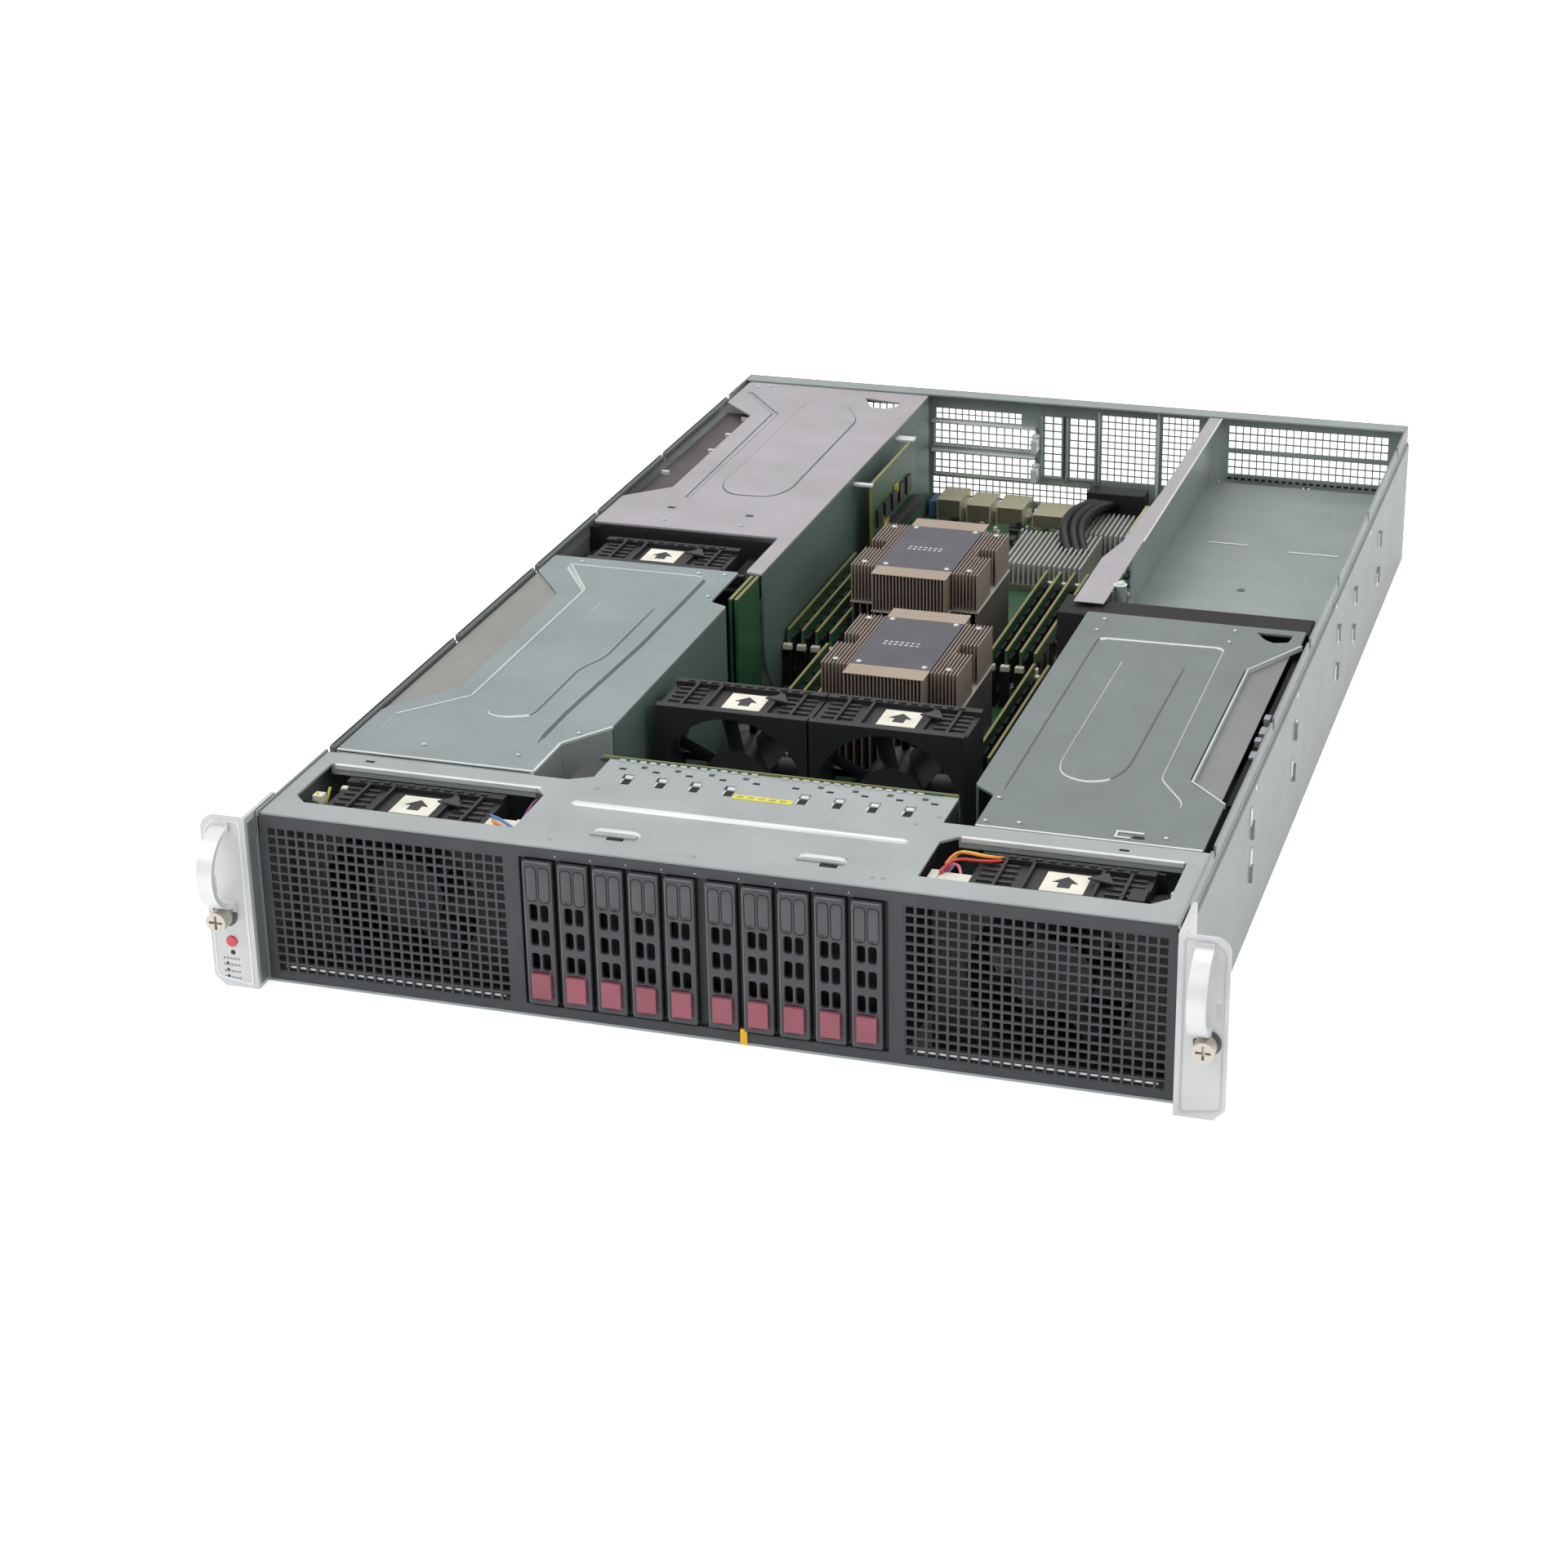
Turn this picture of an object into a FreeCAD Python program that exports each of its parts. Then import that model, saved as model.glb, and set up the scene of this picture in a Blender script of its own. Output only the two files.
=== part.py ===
import FreeCAD, Part
import math
import os
import re
import Sketcher

# A two-unit rack server with its lid off. X runs across the front, Y from front to back, Z up.
# Every piece is drawn in chassis coordinates, where y is 0 at the front panel's face and z is 0
# under the floor, and each top object's Placement then slides it so that the whole is centred.

SIZES = {
    # chassis
    "body_width": 437.0,
    "body_height": 88.0,
    "body_depth": 724.0,
    "rack_width": 482.6,
    "gauge": 1.2,
    "joggle": 1.0,
    "joggle_height": 76.0,
    "slip": 0.3,
    "running_gap": 0.05,
    "hook_width": 3.0,
    "hook_height": 9.0,
    "hook_reach": 1.6,
    "hook_low": 28.0,
    "hook_high": 51.0,
    "lid_notch": 6.0,
    "lid_notch_depth": 5.0,
    "standoff_edge": 14.0,
    "rear_flange": 12.0,
    # front panel and drive bays
    "panel_gauge": 2.5,
    "panel_top": 86.0,
    "grille_start": 93.5,
    "grille_floor": 6.5,
    "grille_hole": 9.8,
    "grille_pitch": 12.0,
    "bay_half_width": 87.0,
    "bay_floor": 6.3,
    "bay_top": 81.3,
    "carrier_width": 14.0,
    "carrier_height": 72.6,
    "carrier_pitch": 17.0,
    "carrier_length": 96.0,
    "carrier_floor": 7.9,
    "carrier_face": 2.0,
    "bezel_depth": 12.0,
    "middle_gap": 5.5,
    "rail_wall": 1.2,
    "rail_height": 4.0,
    "vent_width": 3.0,
    "vent_height": 7.8,
    "vent_pitch": 12.8,
    "vent_floor": 26.0,
    "vent_apart": 2.0,
    "pad_width": 4.6,
    "pad_edge": 1.4,
    "pad_top_edge": 3.0,
    "pad_height": 16.0,
    "pad_recess": 0.8,
    "button_width": 9.2,
    "button_height": 12.6,
    "button_floor": 11.4,
    "button_reach": 1.6,
    "button_depth": 5.0,
    "button_travel": 2.0,
    "cage_half_width": 92.0,
    "cage_depth": 102.0,
    "deck_back": 74.0,
    "window_front": 16.6,
    "window_back": 61.0,
    "window_inner": 96.0,
    "window_outer": 208.0,
    "window_corner": 7.0,
    "lip_depth": 4.0,
    "cover_corner": 11.0,
    "cover_slant": 6.0,
    "hook_slot_left": -68.0,
    "hook_slot_right": 20.0,
    "hook_slot_width": 5.0,
    "hook_slot_front": 82.0,
    "small_slot_front": 95.0,
    "small_slot_width": 3.0,
    "rib_left": -78.0,
    "rib_right": 82.0,
    "rib_front": 47.5,
    "rib_width": 2.6,
    "bridge_left": -48.3,
    "bridge_right": 50.3,
    "bridge_width": 22.0,
    "bridge_front": 18.0,
    "bridge_depth": 6.5,
    "plate_gauge": 1.2,
    "backplane_gauge": 1.6,
    "backplane_edge": 6.0,
    "breather_edge": 4.0,
    "breather_floor": 25.0,
    # ears, handles and controls
    "ear_forward": 10.0,
    "ear_gauge": 2.0,
    "ear_flange_depth": 22.0,
    "ear_corner": 7.0,
    "ear_chamfer": 5.0,
    "handle_radius": 20.5,
    "handle_gauge": 2.5,
    "handle_width": 8.0,
    "handle_height": 63.4,
    "handle_across": 230.5,
    "rack_pitch": 465.1,
    "rack_hole_height": 37.7,
    "screw_radius": 2.5,
    "screw_head_radius": 5.0,
    "screw_head_depth": 7.0,
    "screw_neck_radius": 4.0,
    "screw_neck_depth": 2.7,
    "screw_free_length": 12.0,
    "collar_radius": 3.2,
    "cross_reach": 3.4,
    "cross_width": 1.2,
    "cross_depth": 2.0,
    "power_radius": 2.6,
    "power_height": 23.8,
    "power_reach": 0.8,
    "reset_radius": 1.0,
    "reset_height": 17.9,
    "reset_depth": 6.0,
    # fans
    "fan_size": 80.0,
    "fan_depth": 38.0,
    "fan_bore": 38.3,
    "fan_tip": 37.6,
    "fan_hub": 18.0,
    "fan_hub_depth": 24.0,
    "fan_motor_depth": 6.0,
    "fan_strut": 4.0,
    "fan_shaft": 2.0,
    "fan_clear": 1.5,
    "blade_lean": 8.0,
    "blade_reach": 10.0,
    "blade_camber": 1.6,
    "blade_gauge": 1.6,
    "fan_rail": 5.0,
    "fan_rail_rise": 2.2,
    "fan_rib": 1.6,
    "fan_rib_outer": 28.8,
    "fan_rib_inner": 16.0,
    "fan_motor_radius": 17.5,
    "fan_shaft_end": 4.0,
    "fan_flange_width": 108.0,
    "fan_flange_gauge": 3.0,
    "front_fan_across": 156.0,
    "front_fan_place": 19.0,
    "rear_fan_across": 159.0,
    "rear_fan_place": 373.0,
    "middle_fan_across": 40.5,
    "middle_fan_centre": -6.7,
    "middle_fan_place": 180.0,
    "lead_width": 4.8,
    "lead_gauge": 1.6,
    "plug_length": 12.0,
    "plug_height": 6.6,
    # card cages
    "cover_top": 87.0,
    "cover_edge": 213.5,
    "cage_front": 78.5,
    "cage_left_inner": 94.0,
    "cage_left_rear": 364.0,
    "rear_cover_front": 424.0,
    "rear_cover_inner": 91.5,
    "rear_cover_back": 711.0,
    "right_cover_front": 75.5,
    "right_cover_back": 356.0,
    "right_cover_inner": 95.5,
    "skirt_depth": 5.0,
    "skirt_ledge": 4.0,
    "emboss_rise": 0.8,
    "wall_corner": 45.0,
    "left_wall_front": 62.0,
    "left_wall_back": 53.0,
    "right_wall_front": 45.0,
    "cage_gap": 3.0,
    "notch_depth": 22.0,
    "notch_front": 471.0,
    "notch_back": 664.0,
    "right_notch_front": 127.0,
    "right_notch_back": 335.0,
    "notch_slant": 23.0,
    "finger_radius": 10.0,
    "finger_place": 24.0,
    # card bay over the power supplies
    "tray_floor": 45.0,
    "tray_left": 94.0,
    "tray_front": 380.0,
    "tray_wall_front": 472.0,
    "tray_flange": 6.0,
    "tray_lip": 5.0,
    "tray_foot": 30.0,
    "post_across": 9.6,
    "post_place": 20.0,
    "shroud_front": 357.0,
    "shroud_back": 379.0,
    "shroud_top": 84.0,
    "shroud_gauge": 1.5,
    # power supplies
    "supply_width": 54.5,
    "supply_height": 40.0,
    "supply_length": 300.0,
    "supply_left": 98.5,
    "supply_pitch": 58.5,
    "supply_reach": 24.0,
    "inlet_width": 27.0,
    "inlet_height": 15.0,
    "inlet_depth": 14.0,
    "inlet_edge": 1.5,
    "loop_place": 15.0,
    "loop_width": 8.0,
    "loop_gauge": 3.8,
    "loop_taper": 3.0,
    "latch_width": 9.0,
    "latch_reach": 14.0,
    "latch_edge": 2.0,
    "latch_gauge": 3.0,
    "latch_drop": 8.0,
    # motherboard
    "board_height": 6.5,
    "board_gauge": 1.6,
    "board_half_width": 91.0,
    "board_front": 228.0,
    "board_back": 716.0,
    "standoff_radius": 3.5,
    "standoff_pitch": 78.0,
    "standoff_run": 215.0,
    "cooler_top": 73.0,
    "cooler_base": 14.0,
    "cooler_width": 44.0,
    "cooler_length": 98.0,
    "wing_width": 16.0,
    "wing_length": 74.0,
    "fin_gauge": 0.9,
    "fin_pitch": 4.6,
    "front_cooler_across": 5.5,
    "front_cooler_place": 320.0,
    "rear_cooler_across": -22.5,
    "rear_cooler_place": 467.5,
    "low_cooler_top": 26.0,
    "chipset_across": 15.0,
    "chipset_place": 606.0,
    "chipset_width": 56.0,
    "chipset_length": 50.0,
    "network_across": 40.0,
    "network_place": 668.0,
    "network_width": 30.0,
    "network_length": 40.0,
    "module_length": 133.0,
    "module_gauge": 1.4,
    "module_top": 41.0,
    "module_pitch": 8.3,
    "module_left": 41.0,
    "module_right": 53.5,
    "socket_width": 5.8,
    "socket_length": 141.0,
    "socket_height": 7.0,
    "socket_slot": 3.0,
    "latch_height": 22.0,
    "port_depth": 20.0,
    "power_block_left": 58.0,
    "power_block_front": 640.0,
    "power_block_width": 26.0,
    "power_block_length": 50.0,
    "power_block_height": 24.0,
    "latch_length": 4.0,
    "riser_across": -82.0,
    "riser_gauge": 1.6,
    "riser_top": 82.0,
    "riser_front": 543.0,
    "riser_length": 97.0,
    "upright_board_outer": 96.2,
    "upright_board_inner": 93.0,
    "upright_board_front": 322.0,
    "upright_board_length": 38.0,
    # rear panel
    "rear_hole": 10.0,
    "rear_pitch": 12.6,
    "slot_cover_left": -90.0,
    "slot_cover_width": 67.0,
    "slot_cover_height": 11.0,
    "slot_cover_low": 33.0,
    "slot_cover_high": 53.0,
    "upright_slot_low": 36.0,
    "upright_slot_high": 73.0,
    "port_opening_edge": 6.0,
    "port_opening_width": 51.0,
    "port_opening_height": 7.4,
    "sill": 0.1,
    "blank_lap": 1.0,
    "blank_lip": 1.5,
}

doc = FreeCAD.newDocument("rack_server")
sheet = doc.addObject("Spreadsheet::Sheet", "Sizes")
for row, (alias, value) in enumerate(SIZES.items(), start=1):
    sheet.set("A%d" % row, alias)
    sheet.set("B%d" % row, str(value))
    sheet.setAlias("B%d" % row, alias)
doc.recompute()

WORD = re.compile(r"[a-z]+(?:_[a-z]+)*")
FRONT = "(handle_radius + ear_forward - body_depth - supply_reach) / 2"
INSIDE = "(body_width / 2 - gauge - joggle)"
BOARD_TOP = "(board_height + board_gauge)"
COVER_UNDER = "(cover_top - plate_gauge)"
LID_NOTCHES = (75, 228, 339, 436, 548, 672)
RAIL_HOOKS = (170, 295, 440, 502, 600)
PORTS = ((-82, 16, 14), (-62, 16, 12), (-42, 18, 12), (-18, 22, 9))
UPRIGHT_SLOTS = ((-16, -7), (0, 16))
parts = []


def formula(text):
    """The text as an expression, with each size's name pointed at its cell of the sheet."""
    def pointed(word):
        return "Sizes." + word.group(0) if word.group(0) in SIZES else word.group(0)

    return WORD.sub(pointed, str(text))


def value_of(text):
    """The present value of a formula, to start a sketch from."""
    return float(sheet.evalExpression(formula(text)))


def bind(item, **formulas):
    """Tie an object's properties to formulas of the sheet's sizes."""
    for name, text in formulas.items():
        item.setExpression(name, formula(text))
    return item


def place(item, across=0, along=0, height=0):
    """Stand an object at a place in chassis coordinates."""
    item.setExpression(".Placement.Base.x", formula(across))
    item.setExpression(".Placement.Base.y", formula(along))
    item.setExpression(".Placement.Base.z", formula(height))
    return item


def finished(item, label):
    """Name a sub-part and slide it from chassis coordinates to the part's own origin."""
    item.Label = label
    place(item, along=FRONT)
    parts.append(item)
    return item


def block(name, low, high):
    """A Part box between two corners given as formulas."""
    box = doc.addObject("Part::Box", name)
    sides = ["(%s) - (%s)" % (top, bottom) for bottom, top in zip(low, high)]
    bind(box, Length=sides[0], Width=sides[1], Height=sides[2])
    return place(box, *low)


def rod(name, radius, length, across, along, height):
    """A Part cylinder whose axis runs from front to back, from its front end."""
    cylinder = doc.addObject("Part::Cylinder", name)
    bind(cylinder, Radius=radius, Height=length)
    cylinder.Placement.Rotation = FreeCAD.Rotation(FreeCAD.Vector(1, 0, 0), -90)
    return place(cylinder, across, along, height)


def fused(name, *shapes):
    """One solid of shapes that meet."""
    union = doc.addObject("Part::MultiFuse", name)
    union.Shapes = list(shapes)
    union.Refine = True
    return union


def cut(name, base, tool):
    """The base with the tool's space removed."""
    difference = doc.addObject("Part::Cut", name)
    difference.Base = base
    difference.Tool = tool
    return difference


def group(name, *shapes):
    """Separate solids that share one node."""
    compound = doc.addObject("Part::Compound", name)
    compound.Links = list(shapes)
    return compound


def new_body(name):
    return doc.addObject("PartDesign::Body", name)


def sketch_on(body, name, role, offset=None):
    """A sketch on one of the body's own origin planes, moved along its normal by a formula."""
    sketch = body.newObject("Sketcher::SketchObject", name)
    plane = [item for item in body.Origin.OriginFeatures if item.Role == role][0]
    sketch.AttachmentSupport = (plane, [""])
    sketch.MapMode = "FlatFace"
    if offset is not None:
        sketch.setExpression(".AttachmentOffset.Base.z", formula(offset))
    return sketch


def outline(sketch, corners):
    """Straight lines through corners, each corner held by two distances from the origin."""
    first = sketch.GeometryCount
    points = [FreeCAD.Vector(value_of(across), value_of(up), 0) for across, up in corners]
    count = len(points)
    for index in range(count):
        sketch.addGeometry(Part.LineSegment(points[index], points[(index + 1) % count]))
    for index in range(count):
        following = first + (index + 1) % count
        sketch.addConstraint(Sketcher.Constraint("Coincident", first + index, 2, following, 1))
    for index, corner in enumerate(corners):
        for kind, text in zip(("DistanceX", "DistanceY"), corner):
            held = Sketcher.Constraint(kind, first + index, 1, value_of(text))
            number = sketch.addConstraint(held)
            sketch.setExpression("Constraints[%d]" % number, formula(text))


def rectangle(sketch, left, low, right, high):
    outline(sketch, [(left, low), (right, low), (right, high), (left, high)])


def circle(sketch, across, up, radius):
    """A circle held by its centre and radius."""
    middle = FreeCAD.Vector(value_of(across), value_of(up), 0)
    number = sketch.addGeometry(Part.Circle(middle, FreeCAD.Vector(0, 0, 1), value_of(radius)))
    for kind, text in (("DistanceX", across), ("DistanceY", up)):
        held = sketch.addConstraint(Sketcher.Constraint(kind, number, 3, value_of(text)))
        sketch.setExpression("Constraints[%d]" % held, formula(text))
    held = sketch.addConstraint(Sketcher.Constraint("Radius", number, value_of(radius)))
    sketch.setExpression("Constraints[%d]" % held, formula(radius))


def pad(body, sketch, length, reversed_side=False, midplane=False):
    """Extrude a sketch by a formula's length, along its normal unless reversed."""
    feature = body.newObject("PartDesign::Pad", sketch.Name + "_pad")
    feature.Profile = sketch
    feature.Reversed = reversed_side
    feature.Midplane = midplane
    bind(feature, Length=length)
    return feature


def pocket(body, sketch, length=None, reversed_side=False):
    """Cut a sketch's shape away: to a depth, or right through both ways without one."""
    doc.recompute()
    before = body.Shape.Volume
    feature = body.newObject("PartDesign::Pocket", sketch.Name + "_pocket")
    feature.Profile = sketch
    if length is None:
        feature.Type = 1
        feature.Midplane = True
    else:
        feature.Reversed = reversed_side
        bind(feature, Length=length)
    doc.recompute()
    if before - body.Shape.Volume < 0.001:
        raise ValueError(feature.Name + " cuts nothing")
    return feature


def repeated(body, feature, sketch, columns, rows, column_pitch, row_pitch):
    """Repeat a feature in a grid along its sketch's two axes."""
    grid = body.newObject("PartDesign::MultiTransform", feature.Name + "_grid")
    grid.Originals = [feature]
    steps = []
    for count, axis, pitch in ((columns, "H_Axis", column_pitch), (rows, "V_Axis", row_pitch)):
        if count > 1:
            step = body.newObject("PartDesign::LinearPattern", feature.Name + "_" + axis)
            step.Direction = (sketch, [axis])
            step.Occurrences = count
            bind(step, Length="%d * (%s)" % (count - 1, pitch))
            steps.append(step)
    grid.Transformations = steps
    body.Tip = grid
    doc.recompute()
    return grid


def arc(sketch, start, end, bulge):
    """An arc that bulges to the left of its chord, held by its ends and its radius."""
    ends = [FreeCAD.Vector(value_of(across), value_of(up), 0) for across, up in (start, end)]
    across = "(%s) - (%s)" % (end[0], start[0])
    up = "(%s) - (%s)" % (end[1], start[1])
    chord_square = "((%s) * (%s) + (%s) * (%s))" % (across, across, up, up)
    radius = "(%s / 4 + (%s) * (%s)) / (2 * (%s))" % (chord_square, bulge, bulge, bulge)
    chord = ends[1] - ends[0]
    left = FreeCAD.Vector(-chord.y, chord.x, 0).normalize()
    centre = ends[0] + chord * 0.5 + left * (value_of(bulge) - value_of(radius))
    turned = [math.atan2(corner.y - centre.y, corner.x - centre.x) for corner in reversed(ends)]
    ring = Part.Circle(centre, FreeCAD.Vector(0, 0, 1), value_of(radius))
    number = sketch.addGeometry(Part.ArcOfCircle(ring, turned[0], turned[1]))
    for vertex, corner in ((1, end), (2, start)):
        for kind, text in zip(("DistanceX", "DistanceY"), corner):
            held = sketch.addConstraint(Sketcher.Constraint(kind, number, vertex, value_of(text)))
            sketch.setExpression("Constraints[%d]" % held, formula(text))
    held = sketch.addConstraint(Sketcher.Constraint("Radius", number, value_of(radius)))
    sketch.setExpression("Constraints[%d]" % held, formula(radius))


def fillet(body, name, radius, axis, *corners):
    """Round the edges that run along an axis through corners given in the other two axes."""
    doc.recompute()
    base = body.Tip
    places = [(value_of(first), value_of(second)) for first, second in corners]
    chosen = []
    for number, edge in enumerate(base.Shape.Edges, start=1):
        spots = []
        for vertex in edge.Vertexes:
            ordinates = [vertex.X, vertex.Y, vertex.Z]
            ordinates.pop("XYZ".index(axis))
            spots.append(ordinates)
        for first, second in places:
            near = [abs(spot[0] - first) < 0.01 and abs(spot[1] - second) < 0.01 for spot in spots]
            if len(spots) == 2 and all(near):
                chosen.append("Edge%d" % number)
    feature = body.newObject("PartDesign::Fillet", name)
    feature.Base = (base, chosen)
    bind(feature, Radius=radius)
    return feature


def perforate(body, name, corner, hole, counts, pitches, offset=None):
    """A grid of rectangular holes right through a wall that faces along Y."""
    sketch = sketch_on(body, name, "XZ_Plane", offset)
    left, low = corner
    rectangle(sketch, left, low, "(%s) + (%s)" % (left, hole[0]), "(%s) + (%s)" % (low, hole[1]))
    feature = pocket(body, sketch)
    return repeated(body, feature, sketch, counts[0], counts[1], pitches[0], pitches[1])


def chassis_floor():
    """The floor pan, with hexagonal standoffs under the motherboard."""
    body = new_body("chassis_floor")
    sketch = sketch_on(body, "floor_plan", "XY_Plane")
    half = "(body_width / 2 - gauge)"
    rectangle(sketch, "-" + half, 0, half, "body_depth")
    pad(body, sketch, "gauge")
    stand = sketch_on(body, "standoff_plan", "XY_Plane")
    left = "-standoff_pitch"
    near = "(board_front + standoff_edge)"
    corners = []
    for across, along in ((1, 0), (0.5, 0.866), (-0.5, 0.866), (-1, 0), (-0.5, -0.866), (0.5, -0.866)):
        corners.append((left + " + standoff_radius * %s" % across, near + " + standoff_radius * %s" % along))
    outline(stand, corners)
    feature = pad(body, stand, "board_height")
    repeated(body, feature, stand, 3, 3, "standoff_pitch", "standoff_run")
    return finished(body, "chassis_floor")


def side_wall(label, side):
    """A side wall with its joggled top band, notches for the lid and rows of rail hooks."""
    body = new_body(label)
    sketch = sketch_on(body, label + "_profile", "XZ_Plane")
    outer = "body_width / 2"
    step = "joggle_height + joggle"
    corners = [
        (outer, 0),
        (outer, "joggle_height"),
        (outer + " - joggle", step),
        (outer + " - joggle", "body_height"),
        (outer + " - joggle - gauge", "body_height"),
        (outer + " - joggle - gauge", step),
        (outer + " - gauge", "joggle_height"),
        (outer + " - gauge", 0),
    ]
    outline(sketch, [("%d * (%s)" % (side, across), up) for across, up in corners])
    pad(body, sketch, "body_depth", reversed_side=True)
    notches = sketch_on(body, label + "_notches", "YZ_Plane")
    for along in LID_NOTCHES:
        low = "body_height - lid_notch_depth"
        rectangle(notches, along, low, "%d + lid_notch" % along, "body_height + gauge")
    pocket(body, notches)
    hooks = sketch_on(body, label + "_hooks", "YZ_Plane", "%d * body_width / 2" % side)
    for along in RAIL_HOOKS:
        for low in ("hook_low", "hook_high"):
            rectangle(hooks, along, low, "%d + hook_width" % along, low + " + hook_height")
    pad(body, hooks, "hook_reach", reversed_side=side < 0)
    return finished(body, label)


def front_panel():
    """The painted front plate: two perforated grilles beside the drive opening."""
    body = new_body("front_panel")
    sketch = sketch_on(body, "panel_front", "XZ_Plane")
    rectangle(sketch, "-" + INSIDE, "gauge", INSIDE, "panel_top")
    rectangle(sketch, "-bay_half_width", "bay_floor", "bay_half_width", "bay_top")
    pad(body, sketch, "panel_gauge", reversed_side=True)
    holes = ("grille_hole", "grille_hole")
    pitches = ("grille_pitch", "grille_pitch")
    columns = 1 + int((value_of(INSIDE + " - grille_start - grille_hole")) / value_of("grille_pitch"))
    rows = 1 + int(value_of("bay_top - grille_floor - grille_hole") / value_of("grille_pitch"))
    left = "-grille_start - %d * grille_pitch - grille_hole" % (columns - 1)
    perforate(body, "left_grille", (left, "grille_floor"), holes, (columns, rows), pitches)
    perforate(body, "right_grille", ("grille_start", "grille_floor"), holes, (columns, rows), pitches)
    return finished(body, "front_panel")


def carrier_left(number):
    """The left side of a drive carrier, counted from 0 at the left, as a formula."""
    if number < 5:
        return "(-middle_gap / 2 - carrier_width - %d * carrier_pitch)" % (4 - number)
    return "(middle_gap / 2 + %d * carrier_pitch)" % (number - 5)


def drive_cage():
    """The cage that guides the drive carriers: a block with one cell for each of them."""
    body = new_body("drive_cage")
    sketch = sketch_on(body, "cage_front", "XZ_Plane", "-panel_gauge")
    rectangle(sketch, "-cage_half_width", "gauge", "cage_half_width", "panel_top")
    pad(body, sketch, "cage_depth - panel_gauge", reversed_side=True)
    cells = sketch_on(body, "cells", "XZ_Plane")
    for number in (0, 5):
        left = carrier_left(number) + " - slip"
        low = "carrier_floor - slip"
        right = left + " + carrier_width + 2 * slip"
        rectangle(cells, left, low, right, low + " + carrier_height + 2 * slip")
    feature = pocket(body, cells)
    repeated(body, feature, cells, 5, 1, "carrier_pitch", 0)
    return finished(body, "drive_cage")


def fan_window(side):
    """The corners of the deck's opening over a front fan, two of them cut off."""
    inner = "window_inner"
    outer = "window_outer"
    corners = [
        (inner, "window_front"),
        (outer + " - window_corner", "window_front"),
        (outer, "window_front + window_corner"),
        (outer, "window_back"),
        (inner + " + window_corner", "window_back"),
        (inner, "window_back - window_corner"),
    ]
    return [("%d * (%s)" % (side, across), along) for across, along in corners]


def cage_cover():
    """The deck over the drive cage and the front fans: windows, rolled lips, rib, bridges and slots."""
    body = new_body("cage_cover")
    sketch = sketch_on(body, "cover_plan", "XY_Plane", "panel_top")
    half = "cage_half_width"
    wall = "(%s - slip)" % INSIDE
    outline(sketch, [
        ("-" + wall, "gauge"),
        (wall, "gauge"),
        (wall, "deck_back"),
        (half, "deck_back"),
        (half, "cage_depth"),
        ("-%s + cover_corner" % half, "cage_depth"),
        ("-%s + cover_corner" % half, "deck_back + cover_slant"),
        ("-" + half, "deck_back"),
        ("-" + wall, "deck_back"),
    ])
    for side in (-1, 1):
        outline(sketch, fan_window(side))
    pad(body, sketch, "plate_gauge")
    lip = sketch_on(body, "window_lips", "XY_Plane", "panel_top - lip_depth")
    for side in (-1, 1):
        ends = ("%d * (window_inner + window_corner)" % side, "%d * window_outer" % side)
        near, far = sorted(ends, key=value_of)
        rectangle(lip, near, "window_back", far, "window_back + gauge")
    pad(body, lip, "lip_depth")
    hooks = sketch_on(body, "hook_slot", "XY_Plane")
    for left in ("hook_slot_left", "hook_slot_right"):
        rectangle(hooks, left, "hook_slot_front", left + " + hook_slot_width",
                  "hook_slot_front + hook_slot_width")
        near = left + " + hook_slot_width"
        rectangle(hooks, near, "small_slot_front", near + " + small_slot_width",
                  "small_slot_front + small_slot_width")
    feature = pocket(body, hooks)
    repeated(body, feature, hooks, 4, 1, "carrier_pitch", 0)
    rib = sketch_on(body, "rib", "XY_Plane", "panel_top + plate_gauge")
    rectangle(rib, "rib_left", "rib_front", "rib_right", "rib_front + rib_width")
    for middle in ("bridge_left", "bridge_right"):
        wide = "bridge_width / 2"
        rectangle(rib, "%s - %s" % (middle, wide), "bridge_front",
                  "%s + %s" % (middle, wide), "bridge_front + bridge_depth")
    pad(body, rib, "emboss_rise")
    return finished(body, "cage_cover")


def drive_backplane():
    """The board behind the drives, with a breathing slot behind each bay."""
    body = new_body("drive_backplane")
    sketch = sketch_on(body, "backplane_front", "XZ_Plane", "-cage_depth")
    top = "panel_top + plate_gauge"
    rectangle(sketch, "-cage_half_width + backplane_edge", "gauge", "cage_half_width", top)
    pad(body, sketch, "backplane_gauge", reversed_side=True)
    for number in (0, 5):
        left = carrier_left(number) + " + breather_edge"
        sizes = ("carrier_width - 2 * breather_edge", "carrier_height / 2")
        pitches = ("carrier_pitch", 0)
        corner = (left, "carrier_floor + breather_floor")
        perforate(body, "breather_%d" % number, corner, sizes, (5, 1), pitches)
    return finished(body, "drive_backplane")


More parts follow.
